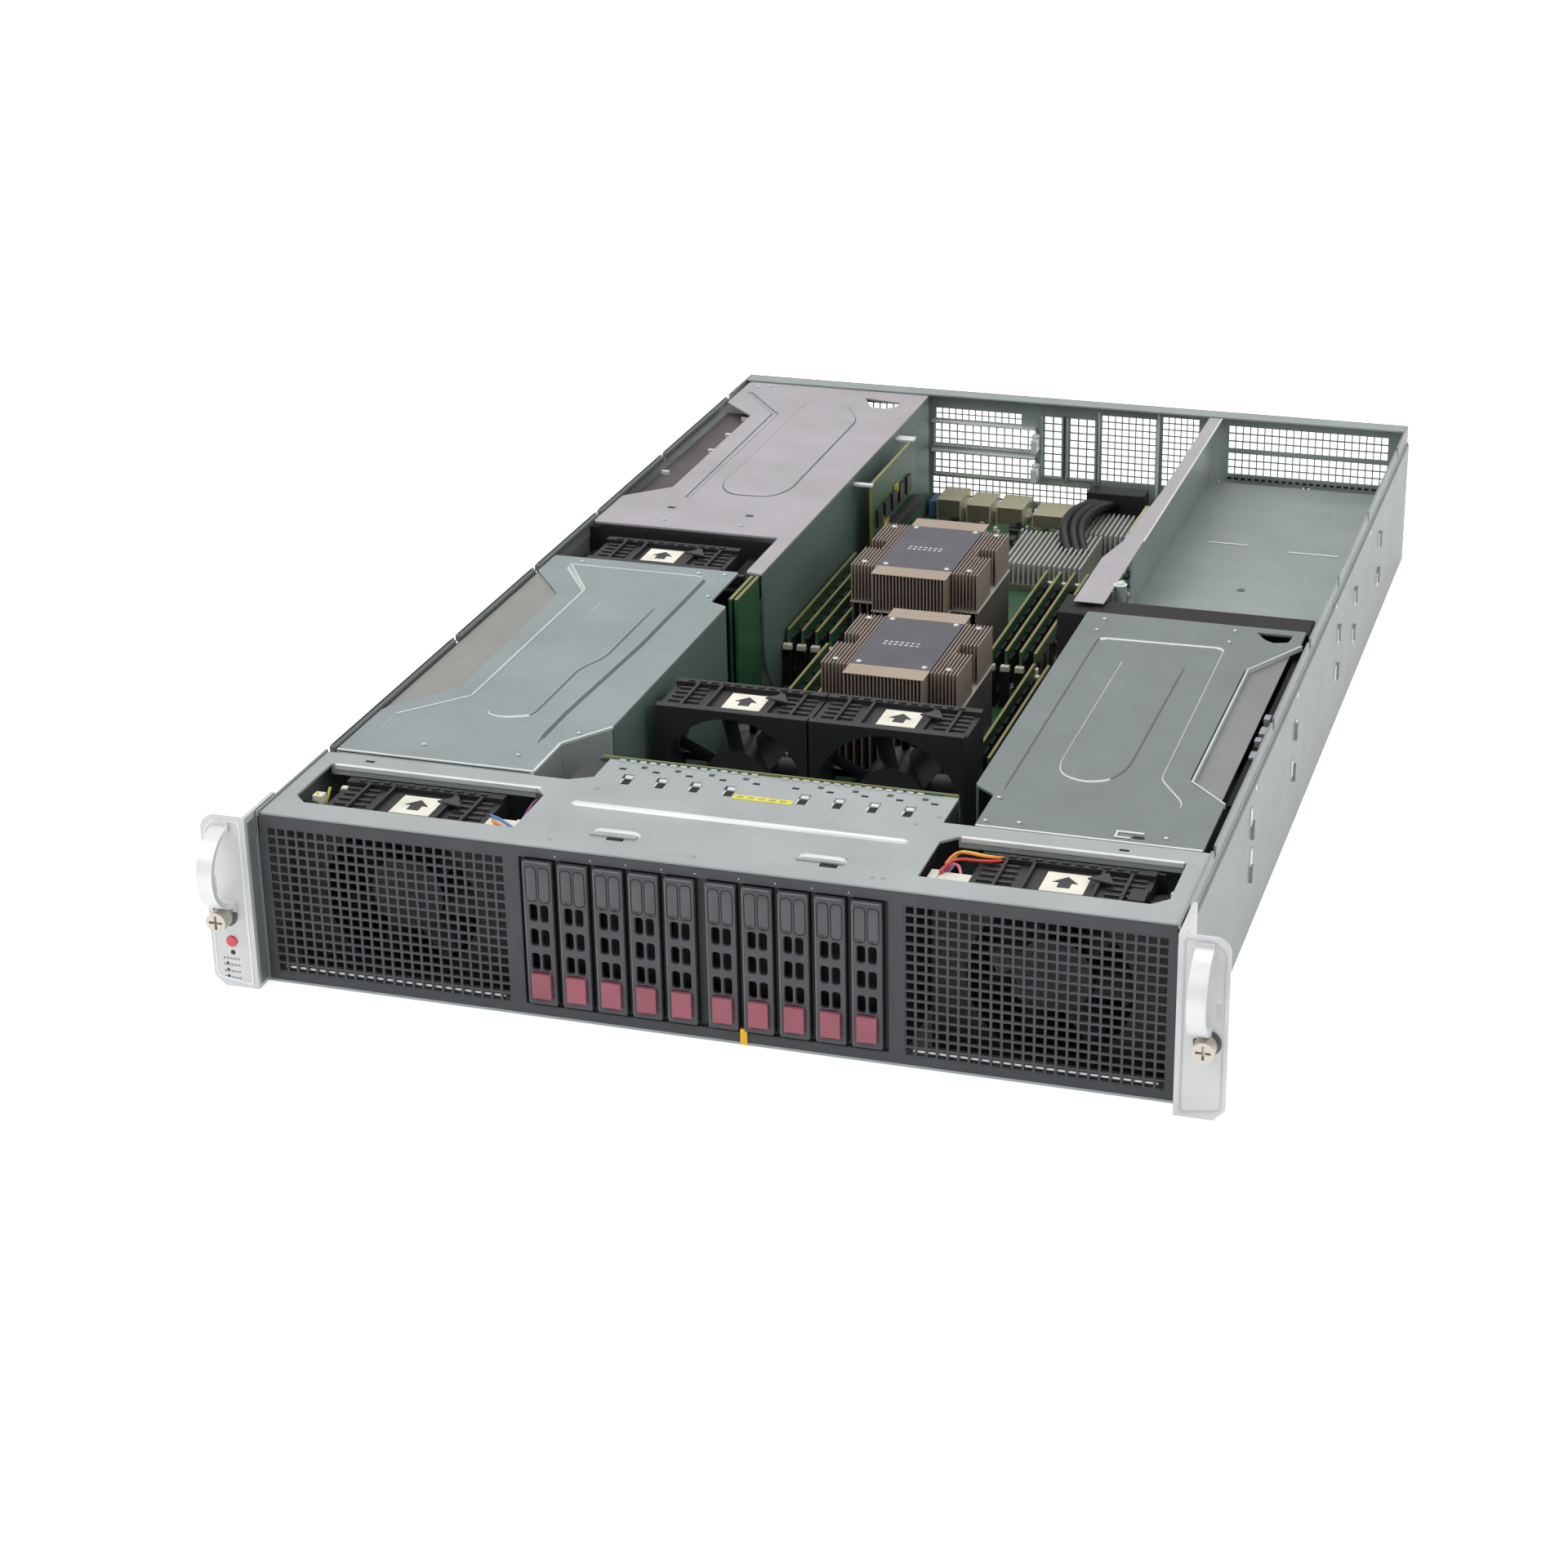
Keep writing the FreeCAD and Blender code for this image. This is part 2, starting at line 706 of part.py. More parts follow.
def drive_carrier(number):
    """A hot-swap tray: vented bezel with pads and a button well, on an open side frame."""
    label = "drive_carrier_%d" % (number + 1)
    body = new_body(label)
    left = carrier_left(number)
    right = left + " + carrier_width"
    top = "carrier_floor + carrier_height"
    middle = left + " + carrier_width / 2"
    face = sketch_on(body, label + "_bezel", "XZ_Plane", "carrier_face")
    rectangle(face, left, "carrier_floor", right, top)
    pad(body, face, "bezel_depth", reversed_side=True)
    frame = sketch_on(body, label + "_frame", "XZ_Plane", "carrier_face - bezel_depth")
    corners = [
        (left, "carrier_floor"),
        (right, "carrier_floor"),
        (right, "carrier_floor + rail_height"),
        (left + " + rail_wall", "carrier_floor + rail_height"),
        (left + " + rail_wall", top + " - rail_height"),
        (right, top + " - rail_height"),
        (right, top),
        (left, top),
    ]
    outline(frame, corners)
    pad(body, frame, "carrier_length - bezel_depth", reversed_side=True)
    pads = sketch_on(body, label + "_pads", "XZ_Plane", "carrier_face")
    for start in ("pad_edge", "carrier_width - pad_edge - pad_width"):
        low = top + " - pad_top_edge - pad_height"
        rectangle(pads, left + " + " + start, low, left + " + %s + pad_width" % start, low + " + pad_height")
    pocket(body, pads, "pad_recess")
    vents = sketch_on(body, label + "_vents", "XZ_Plane")
    for start in (middle + " - vent_apart / 2 - vent_width", middle + " + vent_apart / 2"):
        rectangle(vents, start, "vent_floor", start + " + vent_width", "vent_floor + vent_height")
    feature = pocket(body, vents)
    repeated(body, feature, vents, 1, 3, 0, "vent_pitch")
    well = sketch_on(body, label + "_well", "XZ_Plane", "carrier_face")
    half = "(button_width / 2 + slip)"
    low = "button_floor - slip"
    rectangle(well, middle + " - " + half, low, middle + " + " + half, low + " + button_height + 2 * slip")
    pocket(body, well, "button_depth + button_travel + slip")
    return finished(body, label)


def release_button(number):
    """The sprung button at the foot of a carrier's bezel."""
    label = "release_button_%d" % (number + 1)
    left = carrier_left(number) + " + (carrier_width - button_width) / 2"
    low = (left, "-carrier_face - button_reach", "button_floor")
    high = (left + " + button_width", "button_depth - carrier_face", "button_floor + button_height")
    return finished(group(label, block(label + "_cap", low, high)), label)


def ear(label, side):
    """A rack ear: the front plate with its rounded and cut corners, and the flange along the wall."""
    body = new_body(label)
    outer = "%d * rack_width / 2" % side
    inner = "%d * body_width / 2" % side
    front = sketch_on(body, label + "_front", "XZ_Plane", "ear_forward")
    outline(front, [
        (inner, 0),
        ("%s - %d * ear_chamfer" % (outer, side), 0),
        (outer, "ear_chamfer"),
        (outer, "body_height"),
        (inner, "body_height"),
    ])
    pad(body, front, "ear_gauge", reversed_side=True)
    flange = sketch_on(body, label + "_flange", "XY_Plane")
    far = "%s + %d * ear_gauge" % (inner, side)
    rectangle(flange, inner, "ear_gauge - ear_forward", far, "ear_flange_depth")
    pad(body, flange, "body_height")
    holes = sketch_on(body, label + "_holes", "XZ_Plane")
    circle(holes, "%d * rack_pitch / 2" % side, "rack_hole_height", "collar_radius + running_gap")
    if side < 0:
        circle(holes, "-handle_across", "power_height", "power_radius + slip")
        circle(holes, "-handle_across", "reset_height", "reset_radius + slip")
    pocket(body, holes)
    fillet(body, label + "_corner", "ear_corner", "Y", (outer, "body_height"))
    return finished(body, label)


def pull_handle(label, side):
    """A flat strap bent into a half ring on the front of an ear."""
    start = "%d * handle_across - handle_width / 2" % side
    rings = []
    for name, radius in (("outer", "handle_radius"), ("inner", "handle_radius - handle_gauge")):
        ring = doc.addObject("Part::Cylinder", label + "_" + name)
        bind(ring, Radius=radius, Height="handle_width", Angle="180")
        ring.Placement.Rotation = FreeCAD.Rotation(FreeCAD.Vector(0, 1, 0), 90)
        ring.Placement.Rotation = FreeCAD.Rotation(FreeCAD.Vector(1, 0, 0), 180) * ring.Placement.Rotation
        place(ring, start, "-ear_forward", "handle_height")
        rings.append(ring)
    return finished(cut(label, rings[0], rings[1]), label)


def thumbscrew(label, side):
    """A captive rack screw: cross-slotted head, neck, collar in the ear's hole and free shank."""
    across = "%d * rack_pitch / 2" % side
    neck_front = "-ear_forward - screw_neck_depth - slip"
    head_front = neck_front + " - screw_head_depth"
    collar_front = "-ear_forward - slip"
    turned = [
        ("head", "screw_head_radius", "screw_head_depth", head_front),
        ("neck", "screw_neck_radius", "screw_neck_depth", neck_front),
        ("collar", "collar_radius", "ear_gauge + 2 * slip", collar_front),
        ("shank", "screw_radius", "slip + ear_gauge + screw_free_length", collar_front),
    ]
    pieces = []
    for name, radius, length, start in turned:
        pieces.append(rod(label + "_" + name, radius, length, across, start, "rack_hole_height"))
    screw = fused(label + "_turned", *pieces)
    slots = []
    wide = "cross_width / 2"
    for name, half_across, half_up in (("level", "cross_reach", wide), ("upright", wide, "cross_reach")):
        low = ("%s - %s" % (across, half_across), head_front + " - slip", "rack_hole_height - " + half_up)
        top = "rack_hole_height + " + half_up
        high = ("%s + %s" % (across, half_across), head_front + " + cross_depth", top)
        slots.append(block(label + "_" + name, low, high))
    return finished(cut(label, screw, fused(label + "_cross", *slots)), label)


def control_button(label, radius, height, reach, depth):
    """A round push button that rides in its own hole in the left ear."""
    pin = rod(label + "_pin", radius, depth, "-handle_across", "-ear_forward - %s" % reach, height)
    return finished(group(label, pin), label)


FANS = {
    "front_left": ("-front_fan_across", "front_fan_place"),
    "front_right": ("front_fan_across", "front_fan_place"),
    "rear_left": ("-rear_fan_across", "rear_fan_place"),
    "middle_left": ("middle_fan_centre - middle_fan_across", "middle_fan_place"),
    "middle_right": ("middle_fan_centre + middle_fan_across", "middle_fan_place"),
}


def fan_frame(place_name, across, along):
    """A fan's square frame: round duct, motor on four struts, shaft, and a mounting flange."""
    body = new_body("frame_" + place_name)
    half = "fan_size / 2"
    middle = "gauge + " + half
    frame = sketch_on(body, place_name + "_frame", "XZ_Plane", "-(%s)" % along)
    rectangle(frame, across + " - " + half, "gauge", across + " + " + half, "gauge + fan_size")
    pad(body, frame, "fan_depth", reversed_side=True)
    if not place_name.startswith("middle"):
        flange = sketch_on(body, place_name + "_flange", "XZ_Plane", "-(%s)" % along)
        wide = "fan_flange_width / 2"
        rectangle(flange, across + " - " + wide, "gauge", across + " + " + wide, "gauge + fan_size")
        pad(body, flange, "fan_flange_gauge", reversed_side=True)
    rails = sketch_on(body, place_name + "_rails", "XY_Plane", "gauge + fan_size")
    back_edge = "%s + fan_depth" % along
    for near in (along, back_edge + " - fan_rail"):
        rectangle(rails, across + " - " + half, near, across + " + " + half, near + " + fan_rail")
    for shift in ("- fan_rib_outer", "- fan_rib_inner", "+ fan_rib_inner", "+ fan_rib_outer"):
        start = "%s %s" % (across, shift)
        rectangle(rails, start, "%s + fan_rail" % along, start + " + fan_rib", back_edge + " - fan_rail")
    pad(body, rails, "fan_rail_rise")
    duct = sketch_on(body, place_name + "_duct", "XZ_Plane")
    circle(duct, across, middle, "fan_bore")
    pocket(body, duct)
    back = "-(%s) - fan_depth" % along
    strut = "fan_strut / 2"
    for name, wide, tall in (("level", "fan_bore + 1", strut), ("upright", strut, "fan_bore + 1")):
        arm = sketch_on(body, place_name + "_" + name, "XZ_Plane", back)
        rectangle(arm, "%s - (%s)" % (across, wide), "%s - (%s)" % (middle, tall),
                  "%s + (%s)" % (across, wide), "%s + (%s)" % (middle, tall))
        pad(body, arm, "fan_motor_depth / 2")
    motor = sketch_on(body, place_name + "_motor", "XZ_Plane", back)
    circle(motor, across, middle, "fan_motor_radius")
    pad(body, motor, "fan_motor_depth")
    shaft = sketch_on(body, place_name + "_shaft", "XZ_Plane", back)
    circle(shaft, across, middle, "fan_shaft")
    pad(body, shaft, "fan_motor_depth + fan_hub_depth - fan_shaft_end")
    return body


def fan_impeller(place_name, across, along):
    """A seven-bladed impeller with cambered blades, whose hub runs on the frame's shaft."""
    label = "fan_impeller_" + place_name
    body = new_body(label)
    middle = "gauge + fan_size / 2"
    hub_back = "(fan_depth - fan_motor_depth - fan_clear / 2)"
    hub = sketch_on(body, label + "_hub", "XZ_Plane", "-" + hub_back)
    circle(hub, 0, 0, "fan_hub")
    pad(body, hub, "fan_hub_depth")
    bore = sketch_on(body, label + "_bore", "XZ_Plane", "-" + hub_back)
    circle(bore, 0, 0, "fan_shaft + running_gap")
    pocket(body, bore, "fan_hub_depth - 2 * gauge", reversed_side=True)
    root = "sqrt(fan_hub * fan_hub - blade_lean * blade_lean) - blade_gauge"
    tip = "sqrt(fan_tip * fan_tip - (blade_lean + blade_gauge) * (blade_lean + blade_gauge))"
    section = sketch_on(body, label + "_section", "YZ_Plane", root)
    blade_middle = "%s - fan_hub_depth / 2" % hub_back
    ends = [(blade_middle + " - blade_reach", "-blade_lean"), (blade_middle + " + blade_reach", "blade_lean")]
    arc(section, *ends, "blade_camber")
    arc(section, *ends, "blade_camber + blade_gauge")
    blade = pad(body, section, "%s - (%s)" % (tip, root))
    wheel = body.newObject("PartDesign::PolarPattern", label + "_wheel")
    wheel.Originals = [blade]
    wheel.Axis = (hub, ["N_Axis"])
    wheel.Occurrences = 7
    wheel.Angle = 360
    body.Tip = wheel
    body.Label = label
    place(body, across, "%s + %s" % (FRONT, along), middle)
    parts.append(body)
    return body


def card_cover(label, corners, skirt=None, finger=None):
    """A card cage's lid: a plate with a stepped skirt at its front and a finger hole."""
    body = new_body(label)
    plan = sketch_on(body, label + "_plan", "XY_Plane", COVER_UNDER)
    outline(plan, corners)
    if finger:
        circle(plan, finger[0], finger[1], "finger_radius")
    pad(body, plan, "plate_gauge")
    if skirt:
        left, right, front = skirt
        profile = sketch_on(body, label + "_skirt", "YZ_Plane", left)
        step = COVER_UNDER + " - skirt_depth"
        ledge = front + " - skirt_ledge"
        path = [
            (front, "cover_top"),
            (front, step + " + plate_gauge"),
            (ledge, step + " + plate_gauge"),
            (ledge, step),
            (front + " + plate_gauge", step),
            (front + " + plate_gauge", "cover_top"),
        ]
        outline(profile, path)
        pad(body, profile, "(%s) - (%s)" % (right, left))
    return body


def raised_field(body, name, *fields):
    """Low embossed fields on a lid, each given by its corners."""
    sketch = sketch_on(body, name, "XY_Plane", "cover_top")
    for corners in fields:
        outline(sketch, corners)
    pad(body, sketch, "emboss_rise")


def gpu_cover_front_left():
    """The lid of the front left card cage."""
    inner = "-cage_left_inner"
    back = "cage_left_rear"
    body = card_cover(
        "gpu_cover_front_left",
        [
            ("-cover_edge", "cage_front"),
            (inner + " - 17", "cage_front"),
            (inner + " - 17", "cage_front + 35"),
            (inner, "cage_front + 60"),
            (inner, back + " - 52"),
            (inner + " - 10.5", back + " - 48"),
            (inner + " - 10.5", back),
            ("-cover_edge", back),
        ],
        ("-cover_edge", inner + " - 17", "cage_front"),
    )
    raised_field(
        body,
        "front_left_field",
        [
            ("-cover_edge + 17", "cage_front + 51.5"),
            (inner + " - 62", "cage_front + 57.5"),
            (inner + " - 48", "cage_front + 54.5"),
            (inner + " - 42", "cage_front + 62.5"),
            (inner + " - 41", "cage_front + 119.5"),
            (inner + " - 34", "cage_front + 140.5"),
            (inner + " - 34", back + " - 41"),
            (inner + " - 21", back + " - 23"),
            (inner + " - 26.5", back + " - 15"),
            ("-cover_edge + 17", back + " - 20"),
            ("-cover_edge + 37.5", back + " - 64"),
            ("-cover_edge + 37.5", "cage_front + 73.5"),
        ],
    )
    return finished(body, "gpu_cover_front_left")


def gpu_cover_rear_left():
    """The lid of the rear left card cage, notched beside the wall."""
    inner = "-rear_cover_inner"
    notch = "-cover_edge + notch_depth"
    body = card_cover(
        "gpu_cover_rear_left",
        [
            ("-cover_edge", "rear_cover_front"),
            (inner + " - 9.5", "rear_cover_front"),
            (inner + " - 9.5", "cage_left_rear + 2"),
            (inner, "cage_left_rear + 2"),
            (inner, "rear_cover_back"),
            ("-cover_edge", "rear_cover_back"),
            ("-cover_edge", "notch_back"),
            (notch, "notch_back - notch_slant"),
            (notch, "notch_front + notch_slant"),
            ("-cover_edge", "notch_front"),
        ],
        finger=(inner + " - finger_place", "rear_cover_back - finger_place"),
    )
    raised_field(
        body,
        "rear_left_field",
        [
            ("-cover_edge + 53.5", "notch_front + 29"),
            ("-cover_edge + 67.5", "notch_front + 11"),
            (inner + " - 32.5", "notch_front + 16"),
            (inner + " - 28.5", "notch_front + 31"),
            (inner + " - 29.5", "notch_back - 18"),
            (inner + " - 51.5", "notch_back + 26"),
            ("-cover_edge + 53.5", "notch_back + 26"),
        ],
    )
    return finished(body, "gpu_cover_rear_left")


def gpu_cover_front_right():
    """The lid of the front right card cage, notched beside the wall."""
    inner = "right_cover_inner"
    front = "right_cover_front"
    notch = "cover_edge - notch_depth"
    body = card_cover(
        "gpu_cover_front_right",
        [
            (inner + " + 11", front),
            ("cover_edge", front),
            ("cover_edge", "right_notch_front"),
            (notch, "right_notch_front + notch_slant"),
            (notch, "right_notch_back - 39"),
            ("cover_edge", "right_notch_back"),
            ("cover_edge", "right_cover_back"),
            (inner, "right_cover_back"),
            (inner, front + " + 44.5"),
            (inner + " + 11", front + " + 35.5"),
        ],
        finger=("cover_edge - finger_place + 7", "right_cover_back - 17"),
    )
    raised_field(
        body,
        "front_right_field",
        [
            (inner + " + 33", "right_notch_front + 23"),
            (inner + " + 48", "right_notch_front + 12"),
            (inner + " + 63", "right_notch_front + 25.5"),
            (inner + " + 65.5", "right_notch_back - 40"),
            (inner + " + 33", "right_notch_back - 39"),
        ],
    )
    return finished(body, "gpu_cover_front_right")


def wall_plate(name, across, corners):
    """An upright plate that faces along X, drawn by its side view."""
    body = new_body(name)
    sketch = sketch_on(body, name + "_side", "YZ_Plane", across)
    outline(sketch, corners)
    pad(body, sketch, "gauge")
    return body


def gpu_cage_walls():
    """The inner walls of the three card cages, standing on the floor under their lids."""
    def upright(name, across, front, back):
        return wall_plate(name, across, [
            (front, "gauge"),
            (back, "gauge"),
            (back, COVER_UNDER),
            (front, COVER_UNDER),
        ])

    left = upright("front_left_wall", "-cage_left_inner - gauge", "cage_front + left_wall_front",
                   "cage_left_rear - left_wall_back")
    rear_front = "cage_left_rear + cage_gap"
    rear = upright("rear_left_wall", "-rear_cover_inner - gauge", rear_front, "rear_cover_back")
    fillet(rear, "rear_left_corner", "wall_corner", "X", (rear_front, "gauge"))
    right = upright("front_right_wall", "right_cover_inner", "right_cover_front + right_wall_front",
                    "right_cover_back")
    return finished(group("gpu_cage_walls", left, rear, right), "gpu_cage_walls")


def card_tray():
    """The tray of the rear right card bay: floor, low lip and the tall left wall with its flange."""
    body = new_body("card_tray")
    floor = sketch_on(body, "tray_profile", "XZ_Plane", "-tray_front")
    right = INSIDE
    low = "tray_floor - gauge"
    outline(floor, [
        ("tray_left", low),
        (right, low),
        (right, "tray_floor"),
        ("tray_left + gauge", "tray_floor"),
        ("tray_left + gauge", "tray_floor + tray_lip"),
        ("tray_left", "tray_floor + tray_lip"),
    ])
    pad(body, floor, "rear_cover_back - tray_front", reversed_side=True)
    wall = sketch_on(body, "tray_wall", "XZ_Plane", "-tray_wall_front")
    outline(wall, [
        ("tray_left", "tray_floor"),
        ("tray_left + gauge", "tray_floor"),
        ("tray_left + gauge", "cover_top - gauge"),
        ("tray_left + gauge + tray_flange", "cover_top - gauge"),
        ("tray_left + gauge + tray_flange", "cover_top"),
        ("tray_left", "cover_top"),
    ])
    pad(body, wall, "rear_cover_back - tray_wall_front", reversed_side=True)
    post = sketch_on(body, "tray_post", "XY_Plane", low)
    circle(post, "tray_left + post_across", "tray_front + post_place", "standoff_radius")
    pad(body, post, "cover_top - (%s)" % low)
    foot = sketch_on(body, "tray_foot", "YZ_Plane", "tray_left")
    rectangle(foot, "tray_front", "gauge", "tray_front + tray_foot", low)
    pad(body, foot, "gauge")
    return finished(body, "card_tray")


def air_shroud():
    """The black duct bar across the right side: an inverted channel on the floor."""
    body = new_body("air_shroud")
    sketch = sketch_on(body, "shroud_profile", "YZ_Plane", "board_half_width + 1")
    front = "shroud_front"
    back = "shroud_back"
    wall = "shroud_gauge"
    outline(sketch, [
        (front, "gauge"),
        (front + " + " + wall, "gauge"),
        (front + " + " + wall, "shroud_top - " + wall),
        (back + " - " + wall, "shroud_top - " + wall),
        (back + " - " + wall, "gauge"),
        (back, "gauge"),
        (back, "shroud_top"),
        (front, "shroud_top"),
    ])
    pad(body, sketch, INSIDE + " - board_half_width - 1")
    return finished(body, "air_shroud")


def power_supply(number):
    """A hot-swap supply: case, mains inlet and moulded loop handle."""
    label = "power_supply_%d" % number
    body = new_body(label)
    left = "(supply_left + %d * supply_pitch)" % (number - 1)
    right = left + " + supply_width"
    low = "(gauge + slip)"
    back = "body_depth"
    case = sketch_on(body, label + "_case", "XZ_Plane", "supply_length - " + back)
    rectangle(case, left, low, right, low + " + supply_height")
    pad(body, case, "supply_length", reversed_side=True)
    inlet = sketch_on(body, label + "_inlet", "XZ_Plane", "-" + back)
    rectangle(inlet, right + " - inlet_edge - inlet_height", low + " + 2 * inlet_edge",
              right + " - inlet_edge", low + " + 2 * inlet_edge + inlet_width")
    pocket(body, inlet, "inlet_depth", reversed_side=True)
    loop = sketch_on(body, label + "_loop", "YZ_Plane", left + " + loop_place")
    middle = low + " + supply_height / 2"
    outer = "(supply_height / 2 - inlet_edge)"
    outline(loop, [
        (back, "%s - %s" % (middle, outer)),
        (back + " + supply_reach", "%s - %s + loop_taper" % (middle, outer)),
        (back + " + supply_reach", "%s + %s - loop_taper" % (middle, outer)),
        (back, "%s + %s" % (middle, outer)),
        (back, "%s + %s - loop_gauge" % (middle, outer)),
        (back + " + supply_reach - loop_gauge", "%s + %s - loop_taper - loop_gauge" % (middle, outer)),
        (back + " + supply_reach - loop_gauge", "%s - %s + loop_taper + loop_gauge" % (middle, outer)),
        (back, "%s - %s + loop_gauge" % (middle, outer)),
    ])
    pad(body, loop, "loop_width")
    return finished(body, label)


def supply_latch(number):
    """The thumb tab that frees a power supply."""
    label = "supply_latch_%d" % number
    left = "(supply_left + %d * supply_pitch)" % (number - 1)
    start = left + " + supply_width - latch_edge - latch_width"
    drop = "gauge + slip + supply_height - latch_drop"
    low = (start, "body_depth + slip", drop)
    high = (start + " + latch_width", "body_depth + slip + latch_reach", drop + " + latch_gauge")
    return finished(group(label, block(label + "_tab", low, high)), label)


def motherboard():
    """The main circuit board on its standoffs."""
    low = ("-board_half_width + 1", "board_front", "board_height")
    high = ("board_half_width", "board_back", BOARD_TOP)
    return finished(group("motherboard", block("board_plate", low, high)), "motherboard")


def finned_block(name, across, along, width, length, top, wings):
    """A heatsink: base plate with upright fins that run from front to back."""
    body = new_body(name)
    base = sketch_on(body, name + "_base", "XY_Plane", BOARD_TOP)
    whole = "(%s) / 2" % width
    if wings:
        whole += " + wing_width"
    span = "(wing_length) / 2" if wings else "(%s) / 2" % length
    rectangle(base, "%s - (%s)" % (across, whole), "%s - %s" % (along, span),
              "%s + (%s)" % (across, whole), "%s + %s" % (along, span))
    pad(body, base, "cooler_base - " + BOARD_TOP)
    banks = [("%s - (%s) / 2" % (across, width), "(%s) / 2" % length, width)]
    if wings:
        banks.append(("%s - (%s)" % (across, whole), span, "wing_width"))
        banks.append(("%s + (%s) / 2 + fin_pitch / 2" % (across, width), span, "wing_width"))
    for number, (start, half, reach) in enumerate(banks):
        fin = sketch_on(body, "%s_fin_%d" % (name, number), "XY_Plane", BOARD_TOP)
        rectangle(fin, start, "%s - %s" % (along, half), start + " + fin_gauge", "%s + %s" % (along, half))
        feature = pad(body, fin, "%s - %s" % (top, BOARD_TOP))
        count = 1 + int((value_of(reach) - value_of("fin_gauge")) / value_of("fin_pitch"))
        repeated(body, feature, fin, count, 1, "fin_pitch", 0)
    return body


def heatsinks():
    """The two processor coolers with side wings, and the two low chipset coolers."""
    coolers = []
    for name in ("front_cooler", "rear_cooler"):
        across = name + "_across"
        coolers.append(finned_block(name, across, name + "_place", "cooler_width", "cooler_length",
                                    "cooler_top", True))
    coolers.append(finned_block("chipset_cooler", "chipset_across", "chipset_place", "chipset_width",
                                "chipset_length", "low_cooler_top", False))
    coolers.append(finned_block("network_cooler", "network_across", "network_place", "network_width",
                                "network_length", "low_cooler_top", False))
    return finished(group("heatsinks", *coolers), "heatsinks")


def module_rows():
    """The left side of each memory module and the middle of its length, as formulas."""
    rows = []
    for cooler in ("front_cooler", "rear_cooler"):
        for number in range(4):
            left = "%s_across - module_left - %d * module_pitch" % (cooler, number)
            right = "%s_across + module_right + %d * module_pitch" % (cooler, number)
            rows.append((left, cooler + "_place"))
            rows.append((right, cooler + "_place"))
    return rows


def memory_modules():
    """Upright memory modules, each in its socket's slot."""
    modules = []
    for number, (across, along) in enumerate(module_rows()):
        low = (across + " - module_gauge / 2", along + " - module_length / 2", BOARD_TOP + " + socket_slot")
        high = (across + " + module_gauge / 2", along + " + module_length / 2", "module_top")
        modules.append(block("module_%d" % (number + 1), low, high))
    return finished(group("memory_modules", *modules), "memory_modules")


def memory_sockets():
    """A slotted socket under each module, with an upright latch at both ends."""
    sockets = []
    for number, (across, along) in enumerate(module_rows()):
        name = "socket_%d" % (number + 1)
        body = new_body(name)
        half = "socket_width / 2"
        reach = "socket_length / 2"
        profile = sketch_on(body, name + "_side", "YZ_Plane", "%s - %s" % (across, half))
        top = BOARD_TOP + " + socket_height"
        tall = BOARD_TOP + " + latch_height"
        outline(profile, [
            (along + " - " + reach, BOARD_TOP),
            (along + " + " + reach, BOARD_TOP),
            (along + " + " + reach, tall),
            (along + " + %s - latch_length + slip" % reach, tall),
            (along + " + %s - latch_length + slip" % reach, top),
            (along + " - %s + latch_length - slip" % reach, top),
            (along + " - %s + latch_length - slip" % reach, tall),
            (along + " - " + reach, tall),
        ])
        pad(body, profile, "socket_width")
        slot = sketch_on(body, name + "_slot", "XZ_Plane", "-(%s + module_length / 2)" % along)
        wide = "module_gauge / 2"
        rectangle(slot, "%s - %s" % (across, wide), BOARD_TOP + " + socket_slot",
                  "%s + %s" % (across, wide), top + " + 1")
        pocket(body, slot, "module_length", reversed_side=True)
        sockets.append(body)
    return finished(group("memory_sockets", *sockets), "memory_sockets")


def riser_cards():
    """The riser beside the rear cage wall and the two power boards at the wall's front end."""
    low = ("riser_across", "riser_front", BOARD_TOP)
    high = ("riser_across + riser_gauge", "riser_front + riser_length", "riser_top")
    boards = [block("rear_riser", low, high)]
    for name in ("upright_board_outer", "upright_board_inner"):
        low = ("-" + name, "upright_board_front", "gauge")
        high = ("-%s + riser_gauge" % name, "upright_board_front + upright_board_length", "cover_top + slip")
        boards.append(block(name, low, high))
    return finished(group("riser_cards", *boards), "riser_cards")


def io_connectors():
    """The port blocks at the board's rear edge and the power connector block."""
    blocks = []
    for number, (start, width, tall) in enumerate(PORTS):
        low = (start, "board_back - port_depth", BOARD_TOP)
        high = (start + width, "body_depth - gauge", "%s + %s" % (BOARD_TOP, tall))
        blocks.append(block("port_%d" % (number + 1), low, high))
    low = ("power_block_left", "power_block_front", BOARD_TOP)
    high = ("power_block_left + power_block_width", "power_block_front + power_block_length",
            BOARD_TOP + " + power_block_height")
    blocks.append(block("power_block", low, high))
    return finished(group("io_connectors", *blocks), "io_connectors")


